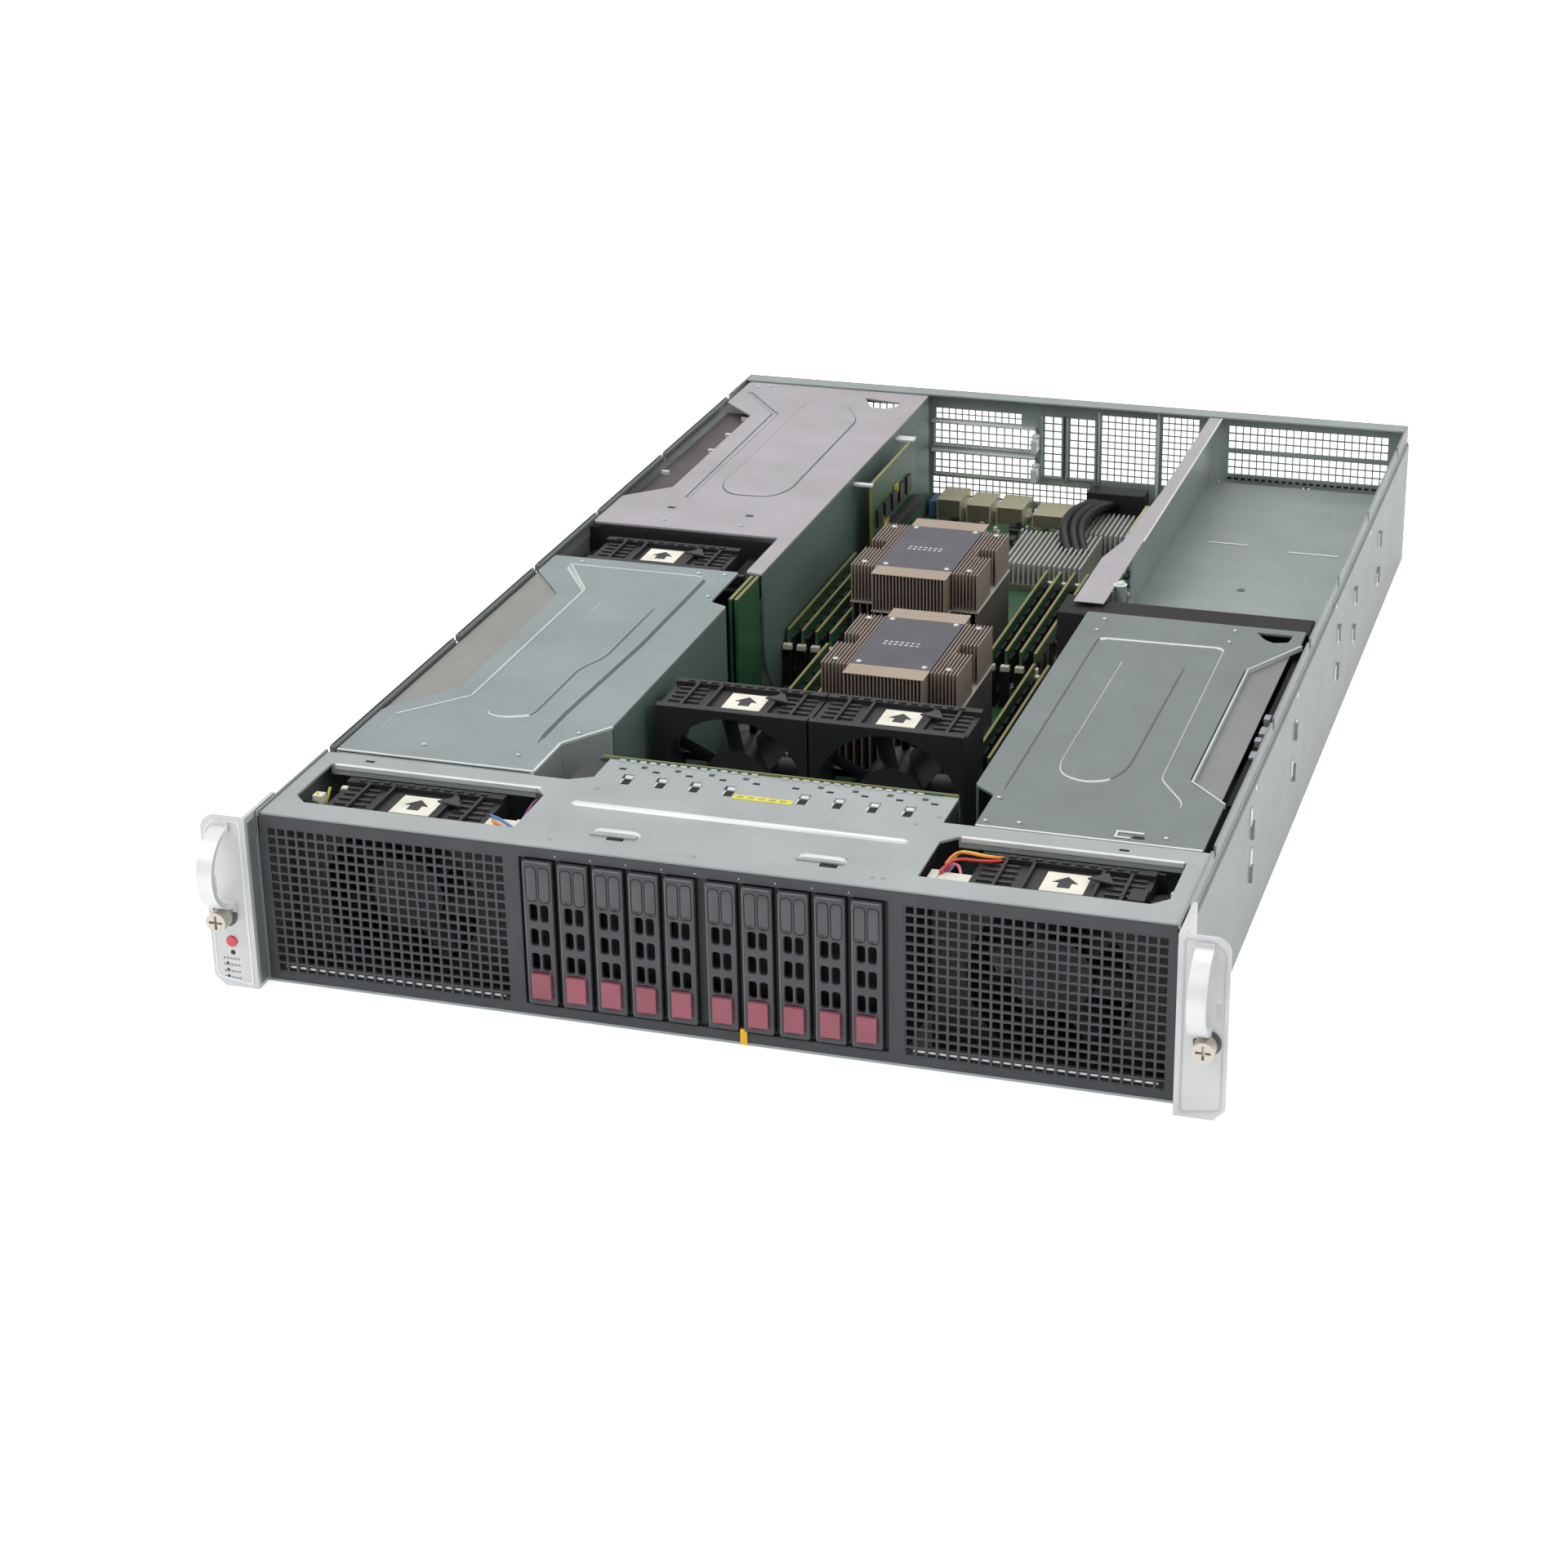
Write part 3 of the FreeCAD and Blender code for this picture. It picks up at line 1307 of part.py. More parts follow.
def rear_panel():
    """The rear wall with its top flange, expansion slots, meshes and the supply opening."""
    body = new_body("rear_panel")
    profile = sketch_on(body, "rear_profile", "YZ_Plane", "-" + INSIDE)
    back = "body_depth"
    outline(profile, [
        (back, "gauge"),
        (back, "body_height"),
        (back + " - rear_flange", "body_height"),
        (back + " - rear_flange", "cover_top"),
        (back + " - gauge", "cover_top"),
        (back + " - gauge", "gauge"),
    ])
    pad(body, profile, "2 * " + INSIDE)
    openings = sketch_on(body, "rear_openings", "XZ_Plane", "-body_depth")
    right = "supply_left + supply_pitch + supply_width + slip"
    top = "gauge + supply_height + 2 * slip"
    rectangle(openings, "supply_left - slip", "gauge + sill", right, top)
    for low in ("slot_cover_low", "slot_cover_high"):
        right = "slot_cover_left + slot_cover_width"
        rectangle(openings, "slot_cover_left", low, right, low + " + slot_cover_height")
    for left, right in UPRIGHT_SLOTS:
        rectangle(openings, left, "upright_slot_low", right, "upright_slot_high")
    left = "slot_cover_left + port_opening_edge"
    rectangle(openings, left, BOARD_TOP, left + " + port_opening_width", BOARD_TOP + " + port_opening_height")
    pocket(body, openings, "gauge * 2", reversed_side=True)
    fields = {
        "bay_mesh": ((105, "tray_floor + 3"), (8, 2), ("rear_pitch", "rear_hole + 8.5")),
        "power_mesh": ((21, "upright_slot_low"), (3, 3), ("rear_pitch", "rear_pitch")),
        "side_mesh": ((64, 50), (1, 3), ("rear_pitch", "rear_pitch - 1.5")),
        "wide_mesh": (("slot_cover_left", 17.5), (8, 1), ("rear_pitch", 0)),
        "cage_mesh": ((-205, 14), (8, 4), ("rear_pitch", "rear_pitch * 1.3")),
    }
    for name, (corner, counts, pitches) in fields.items():
        perforate(body, name, corner, ("rear_hole", "rear_hole"), counts, pitches, "-body_depth")
    return finished(body, "rear_panel")


def slot_covers():
    """Vented blanks screwed inside the expansion slots."""
    covers = []
    inner = "body_depth - gauge"
    for number, low in enumerate(("slot_cover_low", "slot_cover_high")):
        body = new_body("slot_cover_%d" % (number + 1))
        sketch = sketch_on(body, "blank_%d" % (number + 1), "XZ_Plane", "-(%s)" % inner)
        rectangle(sketch, "slot_cover_left - blank_lap", low + " - blank_lip",
                  "slot_cover_left + slot_cover_width + blank_lap", low + " + slot_cover_height + blank_lip")
        pad(body, sketch, "1")
        perforate(body, "blank_vent_%d" % (number + 1), ("slot_cover_left + 1.5", low + " + 1"),
                  ("rear_hole", "slot_cover_height - 2"), (5, 1), ("rear_pitch + 0.6", 0))
        covers.append(body)
    for number, (left, right) in enumerate(UPRIGHT_SLOTS):
        low = ("%s - gauge" % left, inner + " - gauge", "upright_slot_low - gauge")
        high = ("%s + gauge" % right, inner, "upright_slot_high + gauge")
        covers.append(block("upright_blank_%d" % (number + 1), low, high))
    return finished(group("slot_covers", *covers), "slot_covers")


def ribbon(name, points, width, gauge):
    """A flat lead along its hand-chosen points: straight runs joined by tangent arcs."""
    corners = [FreeCAD.Vector(*point) for point in points]
    edges = []
    start = corners[0]
    for before, corner, after in zip(corners, corners[1:], corners[2:]):
        back = (before - corner).normalize()
        ahead = (after - corner).normalize()
        reach = 0.45 * min(before.distanceToPoint(corner), after.distanceToPoint(corner))
        near = corner + back * reach
        far = corner + ahead * reach
        turn = back.getAngle(ahead * -1)
        bend = reach / math.tan(turn / 2)
        print("%s bend radius %.1f mm" % (name, bend))
        toward = (back + ahead).normalize()
        centre = corner + toward * (bend ** 2 + reach ** 2) ** 0.5
        middle = centre - toward * bend
        edges.append(Part.LineSegment(start, near).toShape())
        edges.append(Part.Arc(near, middle, far).toShape())
        start = far
    edges.append(Part.LineSegment(start, corners[-1]).toShape())
    corner = corners[0] - FreeCAD.Vector(width / 2, 0, gauge / 2)
    offsets = ((0, 0), (width, 0), (width, gauge), (0, gauge), (0, 0))
    section = Part.makePolygon([corner + FreeCAD.Vector(across, 0, up) for across, up in offsets])
    lead = doc.addObject("Part::Feature", name)
    lead.Shape = Part.Wire(edges).makePipeShell([section], True, False)
    length = sum(edge.Length for edge in edges)
    share = lead.Shape.Volume / (width * gauge * length)
    print("%s length %.1f mm, volume over section times length %.4f" % (name, length, share))
    return lead


def fan_leads():
    """The front fans' flat leads, from a plug clipped to each fan's side to a plug on the floor."""
    route = [
        (101.5, 36.0, 78.0),
        (101.5, 47.0, 78.0),
        (101.5, 59.0, 75.0),
        (101.5, 69.0, 65.0),
        (101.5, 73.5, 50.0),
        (101.5, 75.3, 36.0),
        (101.5, 76.0, 22.0),
        (101.5, 76.0, 10.0),
    ]
    across, along, height = route[0]
    wide = value_of("lead_width")
    pieces = []
    for name, side in (("left", -1), ("right", 1)):
        points = [(side * spot[0], spot[1], spot[2]) for spot in route]
        pieces.append(ribbon("lead_" + name, points, wide, value_of("lead_gauge")))
        fan_side = "%d * (front_fan_across - fan_size / 2)" % side
        near, far = sorted((fan_side, "%s - lead_width / 2 * %d" % (side * across, side)), key=value_of)
        low = (near, "%s - plug_length" % along, "%s - plug_height / 2" % height)
        high = (far, along, "%s + plug_height / 2" % height)
        pieces.append(block("fan_plug_" + name, low, high))
        foot = route[-1][1]
        middle = side * across
        low = ("%s - plug_height / 2" % middle, "%s - plug_length / 2" % foot, "gauge")
        high = ("%s + plug_height / 2" % middle, "%s + plug_length / 2" % foot, route[-1][2])
        pieces.append(block("floor_plug_" + name, low, high))
    return finished(group("fan_leads", *pieces), "fan_leads")


for name, side in (("left", -1), ("right", 1)):
    side_wall("side_wall_" + name, side)
chassis_floor()
rear_panel()
front_panel()
drive_cage()
cage_cover()
drive_backplane()
for bay in range(10):
    drive_carrier(bay)
    release_button(bay)
for name, side in (("left", -1), ("right", 1)):
    ear("ear_" + name, side)
    pull_handle("handle_" + name, side)
    thumbscrew("thumbscrew_" + name, side)
control_button("power_button", "power_radius", "power_height", "power_reach", "reset_depth")
control_button("reset_button", "reset_radius", "reset_height", "0", "reset_depth")
frames = [fan_frame(name, across, along) for name, (across, along) in FANS.items()]
finished(group("fan_housings", *frames), "fan_housings")
for name, (across, along) in FANS.items():
    fan_impeller(name, across, along)
gpu_cover_front_left()
gpu_cover_rear_left()
gpu_cover_front_right()
gpu_cage_walls()
card_tray()
air_shroud()
for number in (1, 2):
    power_supply(number)
    supply_latch(number)
motherboard()
heatsinks()
memory_modules()
memory_sockets()
riser_cards()
io_connectors()
slot_covers()
fan_leads()

doc.recompute()
for item in doc.Objects:
    if "Invalid" in item.State or "Error" in item.State:
        raise ValueError("%s did not build: %s" % (item.Name, item.State))
for item in parts:
    if item.Shape.isNull() or not item.Shape.isValid():
        raise ValueError("%s has no valid shape" % item.Label)

os.makedirs("parts", exist_ok=True)
for item in parts:
    item.Shape.exportStep("parts/%s.step" % item.Label)
print("%d sub-parts written" % len(parts))
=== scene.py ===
import bpy
import bmesh
import math
import numpy as np
from mathutils import Matrix, Vector
from mathutils.geometry import delaunay_2d_cdt


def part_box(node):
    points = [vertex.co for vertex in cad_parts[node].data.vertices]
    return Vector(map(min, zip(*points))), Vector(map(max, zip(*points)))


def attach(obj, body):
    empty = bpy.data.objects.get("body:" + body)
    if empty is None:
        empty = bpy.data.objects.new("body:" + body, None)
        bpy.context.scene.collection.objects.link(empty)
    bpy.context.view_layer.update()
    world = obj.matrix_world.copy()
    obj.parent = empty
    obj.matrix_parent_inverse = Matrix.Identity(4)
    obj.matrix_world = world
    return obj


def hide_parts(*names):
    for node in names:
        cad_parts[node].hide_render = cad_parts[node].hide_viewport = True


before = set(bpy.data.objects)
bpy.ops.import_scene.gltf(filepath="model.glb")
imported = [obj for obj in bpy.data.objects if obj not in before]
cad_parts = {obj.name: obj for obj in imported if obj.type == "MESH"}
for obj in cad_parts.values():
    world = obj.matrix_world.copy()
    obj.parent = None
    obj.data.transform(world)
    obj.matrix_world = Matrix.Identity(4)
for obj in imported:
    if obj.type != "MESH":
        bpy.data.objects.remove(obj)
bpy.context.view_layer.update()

mm = 0.001
softAngle = 35                           # edges sharper than this many degrees are softened
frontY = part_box("front_panel")[0][1]     # the front panel's face, where chassis y is 0


def at(x, y, z):
    return Vector((x * mm, frontY + y * mm, z * mm))


def linear(value):          # a display value from 0 to 255 as the shader's linear light
    return ((value / 255 + 0.055) / 1.055) ** 2.4 if value > 10 else value / 255 / 12.92


def tone(red, green, blue):
    return (linear(red), linear(green), linear(blue), 1.0)


def link(tree, source, target):
    tree.links.new(source, target)


def noiseAt(tree, coords, scale, detail, stretch=(1, 1, 1)):
    mapping = tree.nodes.new("ShaderNodeMapping")
    mapping.inputs["Scale"].default_value = stretch
    link(tree, coords, mapping.inputs["Vector"])
    noise = tree.nodes.new("ShaderNodeTexNoise")
    noise.inputs["Scale"].default_value = scale
    noise.inputs["Detail"].default_value = detail
    link(tree, mapping.outputs["Vector"], noise.inputs["Vector"])
    return noise.outputs["Fac"]


def between(tree, factor, first, second):
    ramp = tree.nodes.new("ShaderNodeValToRGB")
    for stop, position, colour in zip(ramp.color_ramp.elements, (0.3, 0.7), (first, second)):
        stop.position = position
        stop.color = colour
    link(tree, factor, ramp.inputs["Fac"])
    return ramp.outputs["Color"]


def spread(tree, factor, least, most):
    span = tree.nodes.new("ShaderNodeMapRange")
    span.inputs["To Min"].default_value = least
    span.inputs["To Max"].default_value = most
    link(tree, factor, span.inputs["Value"])
    return span.outputs["Result"]


def startFinish(name, metallic=0.0):
    material = bpy.data.materials.new(name)
    material.use_nodes = True
    tree = material.node_tree
    shader = tree.nodes["Principled BSDF"]
    shader.inputs["Metallic"].default_value = metallic
    coords = tree.nodes.new("ShaderNodeTexCoord").outputs["Object"]
    return material, tree, shader, coords


def addBump(tree, shader, heights, strength, distance):
    bump = tree.nodes.new("ShaderNodeBump")
    bump.inputs["Strength"].default_value = strength
    bump.inputs["Distance"].default_value = distance
    link(tree, heights, bump.inputs["Height"])
    link(tree, bump.outputs["Normal"], shader.inputs["Normal"])


def shade(colour, factor):
    return (*[min(1.0, c * factor) for c in colour[:3]], 1.0)


def zincSheet(name, colour, rough=(0.42, 0.55), metallic=0.35, roll=(1, 0.08, 1)):
    material, tree, shader, coords = startFinish(name, metallic)
    clouds = noiseAt(tree, coords, 28, 4)                       # soft clouding of the plating
    link(tree, between(tree, clouds, shade(colour, 0.93), shade(colour, 1.07)), shader.inputs["Base Color"])
    grain = noiseAt(tree, coords, 900, 2, roll)                 # rolling lines along the sheet
    link(tree, spread(tree, grain, *rough), shader.inputs["Roughness"])
    addBump(tree, shader, grain, 0.05, 0.00015)
    return material


def moulded(name, colour, rough=(0.42, 0.58), grainSize=1600, depth=0.12):
    material, tree, shader, coords = startFinish(name)
    mottling = noiseAt(tree, coords, 60, 3)
    link(tree, between(tree, mottling, shade(colour, 0.88), shade(colour, 1.12)),
         shader.inputs["Base Color"])
    grain = noiseAt(tree, coords, grainSize, 2)
    link(tree, spread(tree, grain, *rough), shader.inputs["Roughness"])
    addBump(tree, shader, grain, depth, 0.0002)
    return material


def circuitBoard(name, colour, traceColour):
    material, tree, shader, coords = startFinish(name)
    brick = tree.nodes.new("ShaderNodeTexBrick")
    brick.inputs["Scale"].default_value = 160
    brick.inputs["Mortar Size"].default_value = 0.035
    brick.inputs["Color1"].default_value = colour
    brick.inputs["Color2"].default_value = shade(colour, 0.75)
    brick.inputs["Mortar"].default_value = traceColour
    link(tree, coords, brick.inputs["Vector"])
    patches = noiseAt(tree, coords, 45, 2)
    mix = tree.nodes.new("ShaderNodeMix")
    mix.data_type = "RGBA"
    link(tree, spread(tree, patches, 0.0, 1.0), mix.inputs["Factor"])
    mix.inputs["A"].default_value = colour
    link(tree, brick.outputs["Color"], mix.inputs["B"])
    link(tree, mix.outputs["Result"], shader.inputs["Base Color"])
    grain = noiseAt(tree, coords, 700, 2)
    link(tree, spread(tree, grain, 0.3, 0.45), shader.inputs["Roughness"])
    addBump(tree, shader, brick.outputs["Fac"], 0.15, 0.0001)
    return material


sheetLooks = {          # colour, then roughness, metallic share and grain where they differ
    "zinc": ((158, 166, 165),),
    "lidZinc": ((146, 156, 156),),
    # a darker copy of the lid zinc: painted shade on the front right lid and on the left ear's fold
    "shadedZinc": ((123, 132, 131),),
    # a darker copy of the zinc for both side walls: painted shade
    "shadedSideZinc": ((144, 151, 149),),
    # a lighter copy of the zinc for the deck: painted sheen
    "litDeckZinc": ((168, 174, 174),),
    # a lighter, pink-grey copy of the lid zinc: painted sheen on the rear left lid and the tray flange
    "pinkSheenZinc": ((176, 172, 177),),
    "innerZinc": ((104, 124, 118), (0.45, 0.58), 0.3),
    "cageZinc": ((58, 62, 62), (0.5, 0.6), 0.3),
    # near-white zinc: painted highlight on rims, lips, ribs, skirts, beads and lanced tabs; also the bright
    # plating of small parts
    "brightZincAndHighlight": ((226, 230, 230), (0.35, 0.45), 0.35),
    "satinSilver": ((208, 209, 210), (0.4, 0.5), 0.3, (1, 1, 0.1)),
    "brightSilver": ((228, 229, 229), (0.34, 0.44), 0.3, (1, 1, 0.1)),
    "nickel": ((196, 191, 180), (0.25, 0.38), 0.6, (1, 1, 1)),
    "finMetal": ((170, 156, 146), (0.4, 0.5), 0.35, (0.1, 1, 0.1)),
    "finLight": ((198, 200, 194), (0.4, 0.5), 0.35, (0.1, 1, 0.1)),
    "finDark": ((120, 112, 106), (0.45, 0.55), 0.35, (0.1, 1, 0.1)),
    "finTan": ((172, 156, 138), (0.4, 0.5), 0.3, (1, 0.1, 1)),
    # bright zinc: painted highlight on bent steps, studs, hooks and rims; also the bright heads of the
    # cooler screws
    "bendHighlightZinc": ((204, 209, 208), (0.35, 0.45), 0.3),
    # a darker grey for the card seen through the right lid's notch: painted shade
    "shadedNotchGrey": ((136, 138, 139),),
    # a brownish zinc for the left lid's low step: painted reflection
    "brownReflectionZinc": ((148, 147, 143),),
    "trayZinc": ((154, 164, 162), (0.42, 0.55), 0.3),
    # dark zinc: painted shade on right-facing bent steps, beside studs, behind lanced tabs, in grooves and
    # on the thumbscrew seat; also the wall lips, ear ridges and tray dot
    "darkZincAndShade": ((96, 102, 101), (0.5, 0.6), 0.3),
    "portMetal": ((194, 188, 156), (0.35, 0.45), 0.2, (1, 1, 1)),
    "canMetal": ((168, 166, 176), (0.3, 0.4), 0.5, (1, 1, 1)),
    "goldPlate": ((214, 184, 110), (0.25, 0.35), 0.6, (1, 1, 1)),
}
mouldLooks = {          # colour, then roughness, grain size and depth where they differ
    "frontPaint": ((60, 62, 66), (0.5, 0.62), 2600, 0.25),
    "grillePaint": ((66, 68, 72), (0.5, 0.62), 2600, 0.2),
    "carrierPlastic": ((70, 70, 75),),
    "padPlastic": ((78, 76, 81), (0.34, 0.44)),
    # light grey for strips on the carriers' edges: painted highlight
    "rimHighlightGrey": ((104, 104, 108), (0.35, 0.45)),
    "releaseRed": ((156, 88, 102),),
    "powerRed": ((228, 84, 96), (0.3, 0.4)),
    "blackPlastic": ((30, 30, 32), (0.4, 0.55)),
    "louvreGrey": ((42, 42, 44), (0.34, 0.48)),
    # near-black for openings, gaps and slots drawn as flat patches or boxes: painted shade; also the dark
    # joint ring round the carrier pads
    "shadeAndJointBlack": ((17, 17, 18), (0.7, 0.8)),
    "shroudBlack": ((25, 23, 23), (0.65, 0.75)),
    "brownCard": ((86, 77, 79), (0.5, 0.6)),
    "boardEdge": ((136, 132, 80),),
    "slatePlate": ((74, 73, 82), (0.3, 0.42)),
    "creamPlastic": ((222, 218, 204),),
    "markShade": ((150, 150, 154), (0.5, 0.6)),
    "latchCream": ((214, 206, 184),),
    "chipBlack": ((40, 40, 44), (0.4, 0.5)),
    "labelCream": ((232, 230, 214), (0.5, 0.6)),
    "labelYellow": ((222, 216, 84), (0.5, 0.6)),
    "labelShade": ((176, 168, 60), (0.5, 0.6)),
    "tabYellow": ((245, 190, 40), (0.4, 0.5)),
    "markGrey": ((196, 196, 200), (0.5, 0.6)),
    "portBlue": ((70, 110, 150), (0.4, 0.5)),
    "wireRed": ((205, 62, 62), (0.35, 0.45)),
    "wirePink": ((214, 120, 140), (0.35, 0.45)),
    "wirePurple": ((120, 60, 120), (0.35, 0.45)),
    "wireBlue": ((84, 140, 200), (0.35, 0.45)),
    "wireOrange": ((240, 150, 60), (0.35, 0.45)),
}
finishes = {"boardGreen": circuitBoard("boardGreen", tone(34, 84, 60), tone(96, 128, 80))}
for name, (colour, *settings) in sheetLooks.items():
    finishes[name] = zincSheet(name, tone(*colour), *settings)
for name, (colour, *settings) in mouldLooks.items():
    finishes[name] = moulded(name, tone(*colour), *settings)


def addBox(bm, lowCorner, highCorner):
    centre = (lowCorner + highCorner) / 2
    size = highCorner - lowCorner
    turn = Matrix.Translation(centre) @ Matrix.Diagonal((*size, 1))
    bmesh.ops.create_cube(bm, size=1, matrix=turn)


def addPrism(bm, outline, lift):
    base = [bm.verts.new(point) for point in outline]
    top = [bm.verts.new(point + lift) for point in outline]
    bm.faces.new(base)
    bm.faces.new(reversed(top))
    for index in range(len(base)):
        following = (index + 1) % len(base)
        bm.faces.new((base[following], base[index], top[index], top[following]))
    bmesh.ops.recalc_face_normals(bm, faces=bm.faces[:])


def addRod(bm, start, end, radius, sides):
    along = end - start
    turn = Vector((0, 0, 1)).rotation_difference(along).to_matrix().to_4x4()
    matrix = Matrix.Translation((start + end) / 2) @ turn
    bmesh.ops.create_cone(bm, cap_ends=True, segments=sides, radius1=radius, radius2=radius,
                          depth=along.length, matrix=matrix)


def settle(piece, body):
    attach(piece, body)
    return piece


def bake(piece):
    evaluated = piece.evaluated_get(bpy.context.evaluated_depsgraph_get())
    mesh = bpy.data.meshes.new_from_object(evaluated)
    piece.modifiers.clear()
    piece.data = mesh
    return piece


def pieceFrom(bm, name, finish, body, bevel):
    mesh = bpy.data.meshes.new(name)
    bm.to_mesh(mesh)
    bm.free()
    piece = bpy.data.objects.new(name, mesh)
    bpy.context.collection.objects.link(piece)
    mesh.materials.append(finishes[finish])
    if bevel:
        soften(piece, bevel)
        bake(piece)
    return settle(piece, body)


def soften(piece, width):
    edge = piece.modifiers.new("softEdges", "BEVEL")
    edge.width = width * mm
    edge.segments = 2
    edge.limit_method = "ANGLE"
    edge.angle_limit = math.radians(softAngle)
    edge.harden_normals = True
    for polygon in piece.data.polygons:
        polygon.use_smooth = True


def dress(node, finish, bevel=0.0):
    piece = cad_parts[node]
    piece.data.materials.clear()
    piece.data.materials.append(finishes[finish])
    if bevel:
        soften(piece, bevel)


def startTree(name, inputs):
    tree = bpy.data.node_groups.new(name, "GeometryNodeTree")
    for label, kind in inputs:
        tree.interface.new_socket(label, in_out="INPUT", socket_type="NodeSocket" + kind)
    tree.interface.new_socket("Geometry", in_out="OUTPUT", socket_type="NodeSocketGeometry")
    return tree, tree.nodes.new("NodeGroupInput").outputs


def addNode(tree, kind, settings=None, **inputs):
    node = tree.nodes.new(kind)
    for key, value in (settings or {}).items():
        setattr(node, key, value)
    for key, value in inputs.items():
        socket = node.inputs[key.replace("_", " ")]
        if isinstance(value, bpy.types.NodeSocket):
            link(tree, value, socket)
        else:
            socket.default_value = value
    return node


def endTree(tree, geometry, material):
    real = addNode(tree, "GeometryNodeRealizeInstances", Geometry=geometry)
    painted = addNode(tree, "GeometryNodeSetMaterial", Geometry=real.outputs[0], Material=material)
    addNode(tree, "NodeGroupOutput", Geometry=painted.outputs[0])
    return tree


def grow(name, tree, values, place, body, thickness=0.0, points=()):
    mesh = bpy.data.meshes.new(name)
    mesh.from_pydata([tuple(point) for point in points], [], [])
    piece = bpy.data.objects.new(name, mesh)
    bpy.context.collection.objects.link(piece)
    modifier = piece.modifiers.new(name, "NODES")
    modifier.node_group = tree
    for socket in tree.interface.items_tree:
        if socket.in_out == "INPUT" and socket.name in values:
            modifier[socket.identifier] = values[socket.name]
    if thickness:
        solid = piece.modifiers.new("sheetGauge", "SOLIDIFY")
        solid.thickness = thickness * mm
        solid.offset = 0
    bake(piece)
    piece.data.transform(place)
    return settle(piece, body)


def perforatedSheetTree():
    tree, given = startTree("perforatedSheet", [
        ("Width", "Float"), ("Height", "Float"), ("Columns", "Int"), ("Rows", "Int"),
        ("Hole Share", "Float"), ("Material", "Material")])
    acrossVertices = addNode(tree, "ShaderNodeMath", {"operation": "ADD"})
    link(tree, given["Columns"], acrossVertices.inputs[0])
    acrossVertices.inputs[1].default_value = 1
    upVertices = addNode(tree, "ShaderNodeMath", {"operation": "ADD"})
    link(tree, given["Rows"], upVertices.inputs[0])
    upVertices.inputs[1].default_value = 1
    sheet = addNode(tree, "GeometryNodeMeshGrid", Size_X=given["Width"], Size_Y=given["Height"],
                    Vertices_X=acrossVertices.outputs[0], Vertices_Y=upVertices.outputs[0])
    cells = addNode(tree, "GeometryNodeExtrudeMesh", {"mode": "FACES"}, Mesh=sheet.outputs["Mesh"],
                    Offset_Scale=0.0, Individual=True)
    holes = addNode(tree, "GeometryNodeScaleElements", Geometry=cells.outputs["Mesh"],
                    Selection=cells.outputs["Top"], Scale=given["Hole Share"])
    opened = addNode(tree, "GeometryNodeDeleteGeometry", {"domain": "FACE"}, Geometry=holes.outputs[0],
                     Selection=cells.outputs["Top"])
    welded = addNode(tree, "GeometryNodeMergeByDistance", Geometry=opened.outputs[0], Distance=0.00001)
    return endTree(tree, welded.outputs[0], given["Material"])


def finRowTree():
    tree, given = startTree("finRow", [
        ("Count", "Int"), ("Pitch", "Vector"), ("Fin Size", "Vector"), ("Material", "Material")])
    line = addNode(tree, "GeometryNodeMeshLine", Count=given["Count"], Offset=given["Pitch"])
    fin = addNode(tree, "GeometryNodeMeshCube", Size=given["Fin Size"])
    fins = addNode(tree, "GeometryNodeInstanceOnPoints", Points=line.outputs[0],
                   Instance=fin.outputs["Mesh"])
    return endTree(tree, fins.outputs[0], given["Material"])


perforatedSheet = perforatedSheetTree()
finRow = finRowTree()


def uprightMesh(name, corner, size, counts, finish, share, gauge):      # perforated, facing the front
    turn = Matrix.Rotation(math.radians(90), 4, "X")
    middle = at(corner[0] + size[0] / 2, corner[1], corner[2] + size[1] / 2)
    values = {"Width": size[0] * mm, "Height": size[1] * mm, "Columns": counts[0], "Rows": counts[1],
              "Hole Share": share, "Material": finishes[finish]}
    return grow(name, perforatedSheet, values, Matrix.Translation(middle) @ turn, "chassis", gauge)


def windowPlate(bm, xs, zs, windows, y0, y1):
    def solid(i, k):
        if i < 0 or k < 0 or i >= len(xs) - 1 or k >= len(zs) - 1:
            return False
        x, z = (xs[i] + xs[i + 1]) / 2, (zs[k] + zs[k + 1]) / 2
        return not any(a < x < b and c < z < d for a, c, b, d in windows)
    verts = {}
    def corner(i, k, y):
        if (i, k, y) not in verts:
            verts[i, k, y] = bm.verts.new(at(xs[i], y, zs[k]))
        return verts[i, k, y]
    for i in range(len(xs) - 1):
        for k in range(len(zs) - 1):
            if not solid(i, k):
                continue
            ring = ((i, k), (i + 1, k), (i + 1, k + 1), (i, k + 1))
            bm.faces.new([corner(a, b, y0) for a, b in ring])
            bm.faces.new([corner(a, b, y1) for a, b in reversed(ring)])
            neighbours = ((i, k - 1), (i + 1, k), (i, k + 1), (i - 1, k))
            for (a, b), (c, d), beside in zip(ring, ring[1:] + ring[:1], neighbours):
                if not solid(*beside):
                    bm.faces.new((corner(c, d, y0), corner(a, b, y0), corner(a, b, y1), corner(c, d, y1)))
    bmesh.ops.recalc_face_normals(bm, faces=bm.faces[:])


frontPanel = {"halfWidth": 217.3, "floor": 1.2, "top": 86.0, "gauge": 2.5, "bay": (-87, 6.3, 87, 81.3),
              "grille": (94.5, 5.5, 213.0, 80.5), "columns": 24, "rows": 16, "holeShare": 0.77,
              "meshGauge": 1.2}


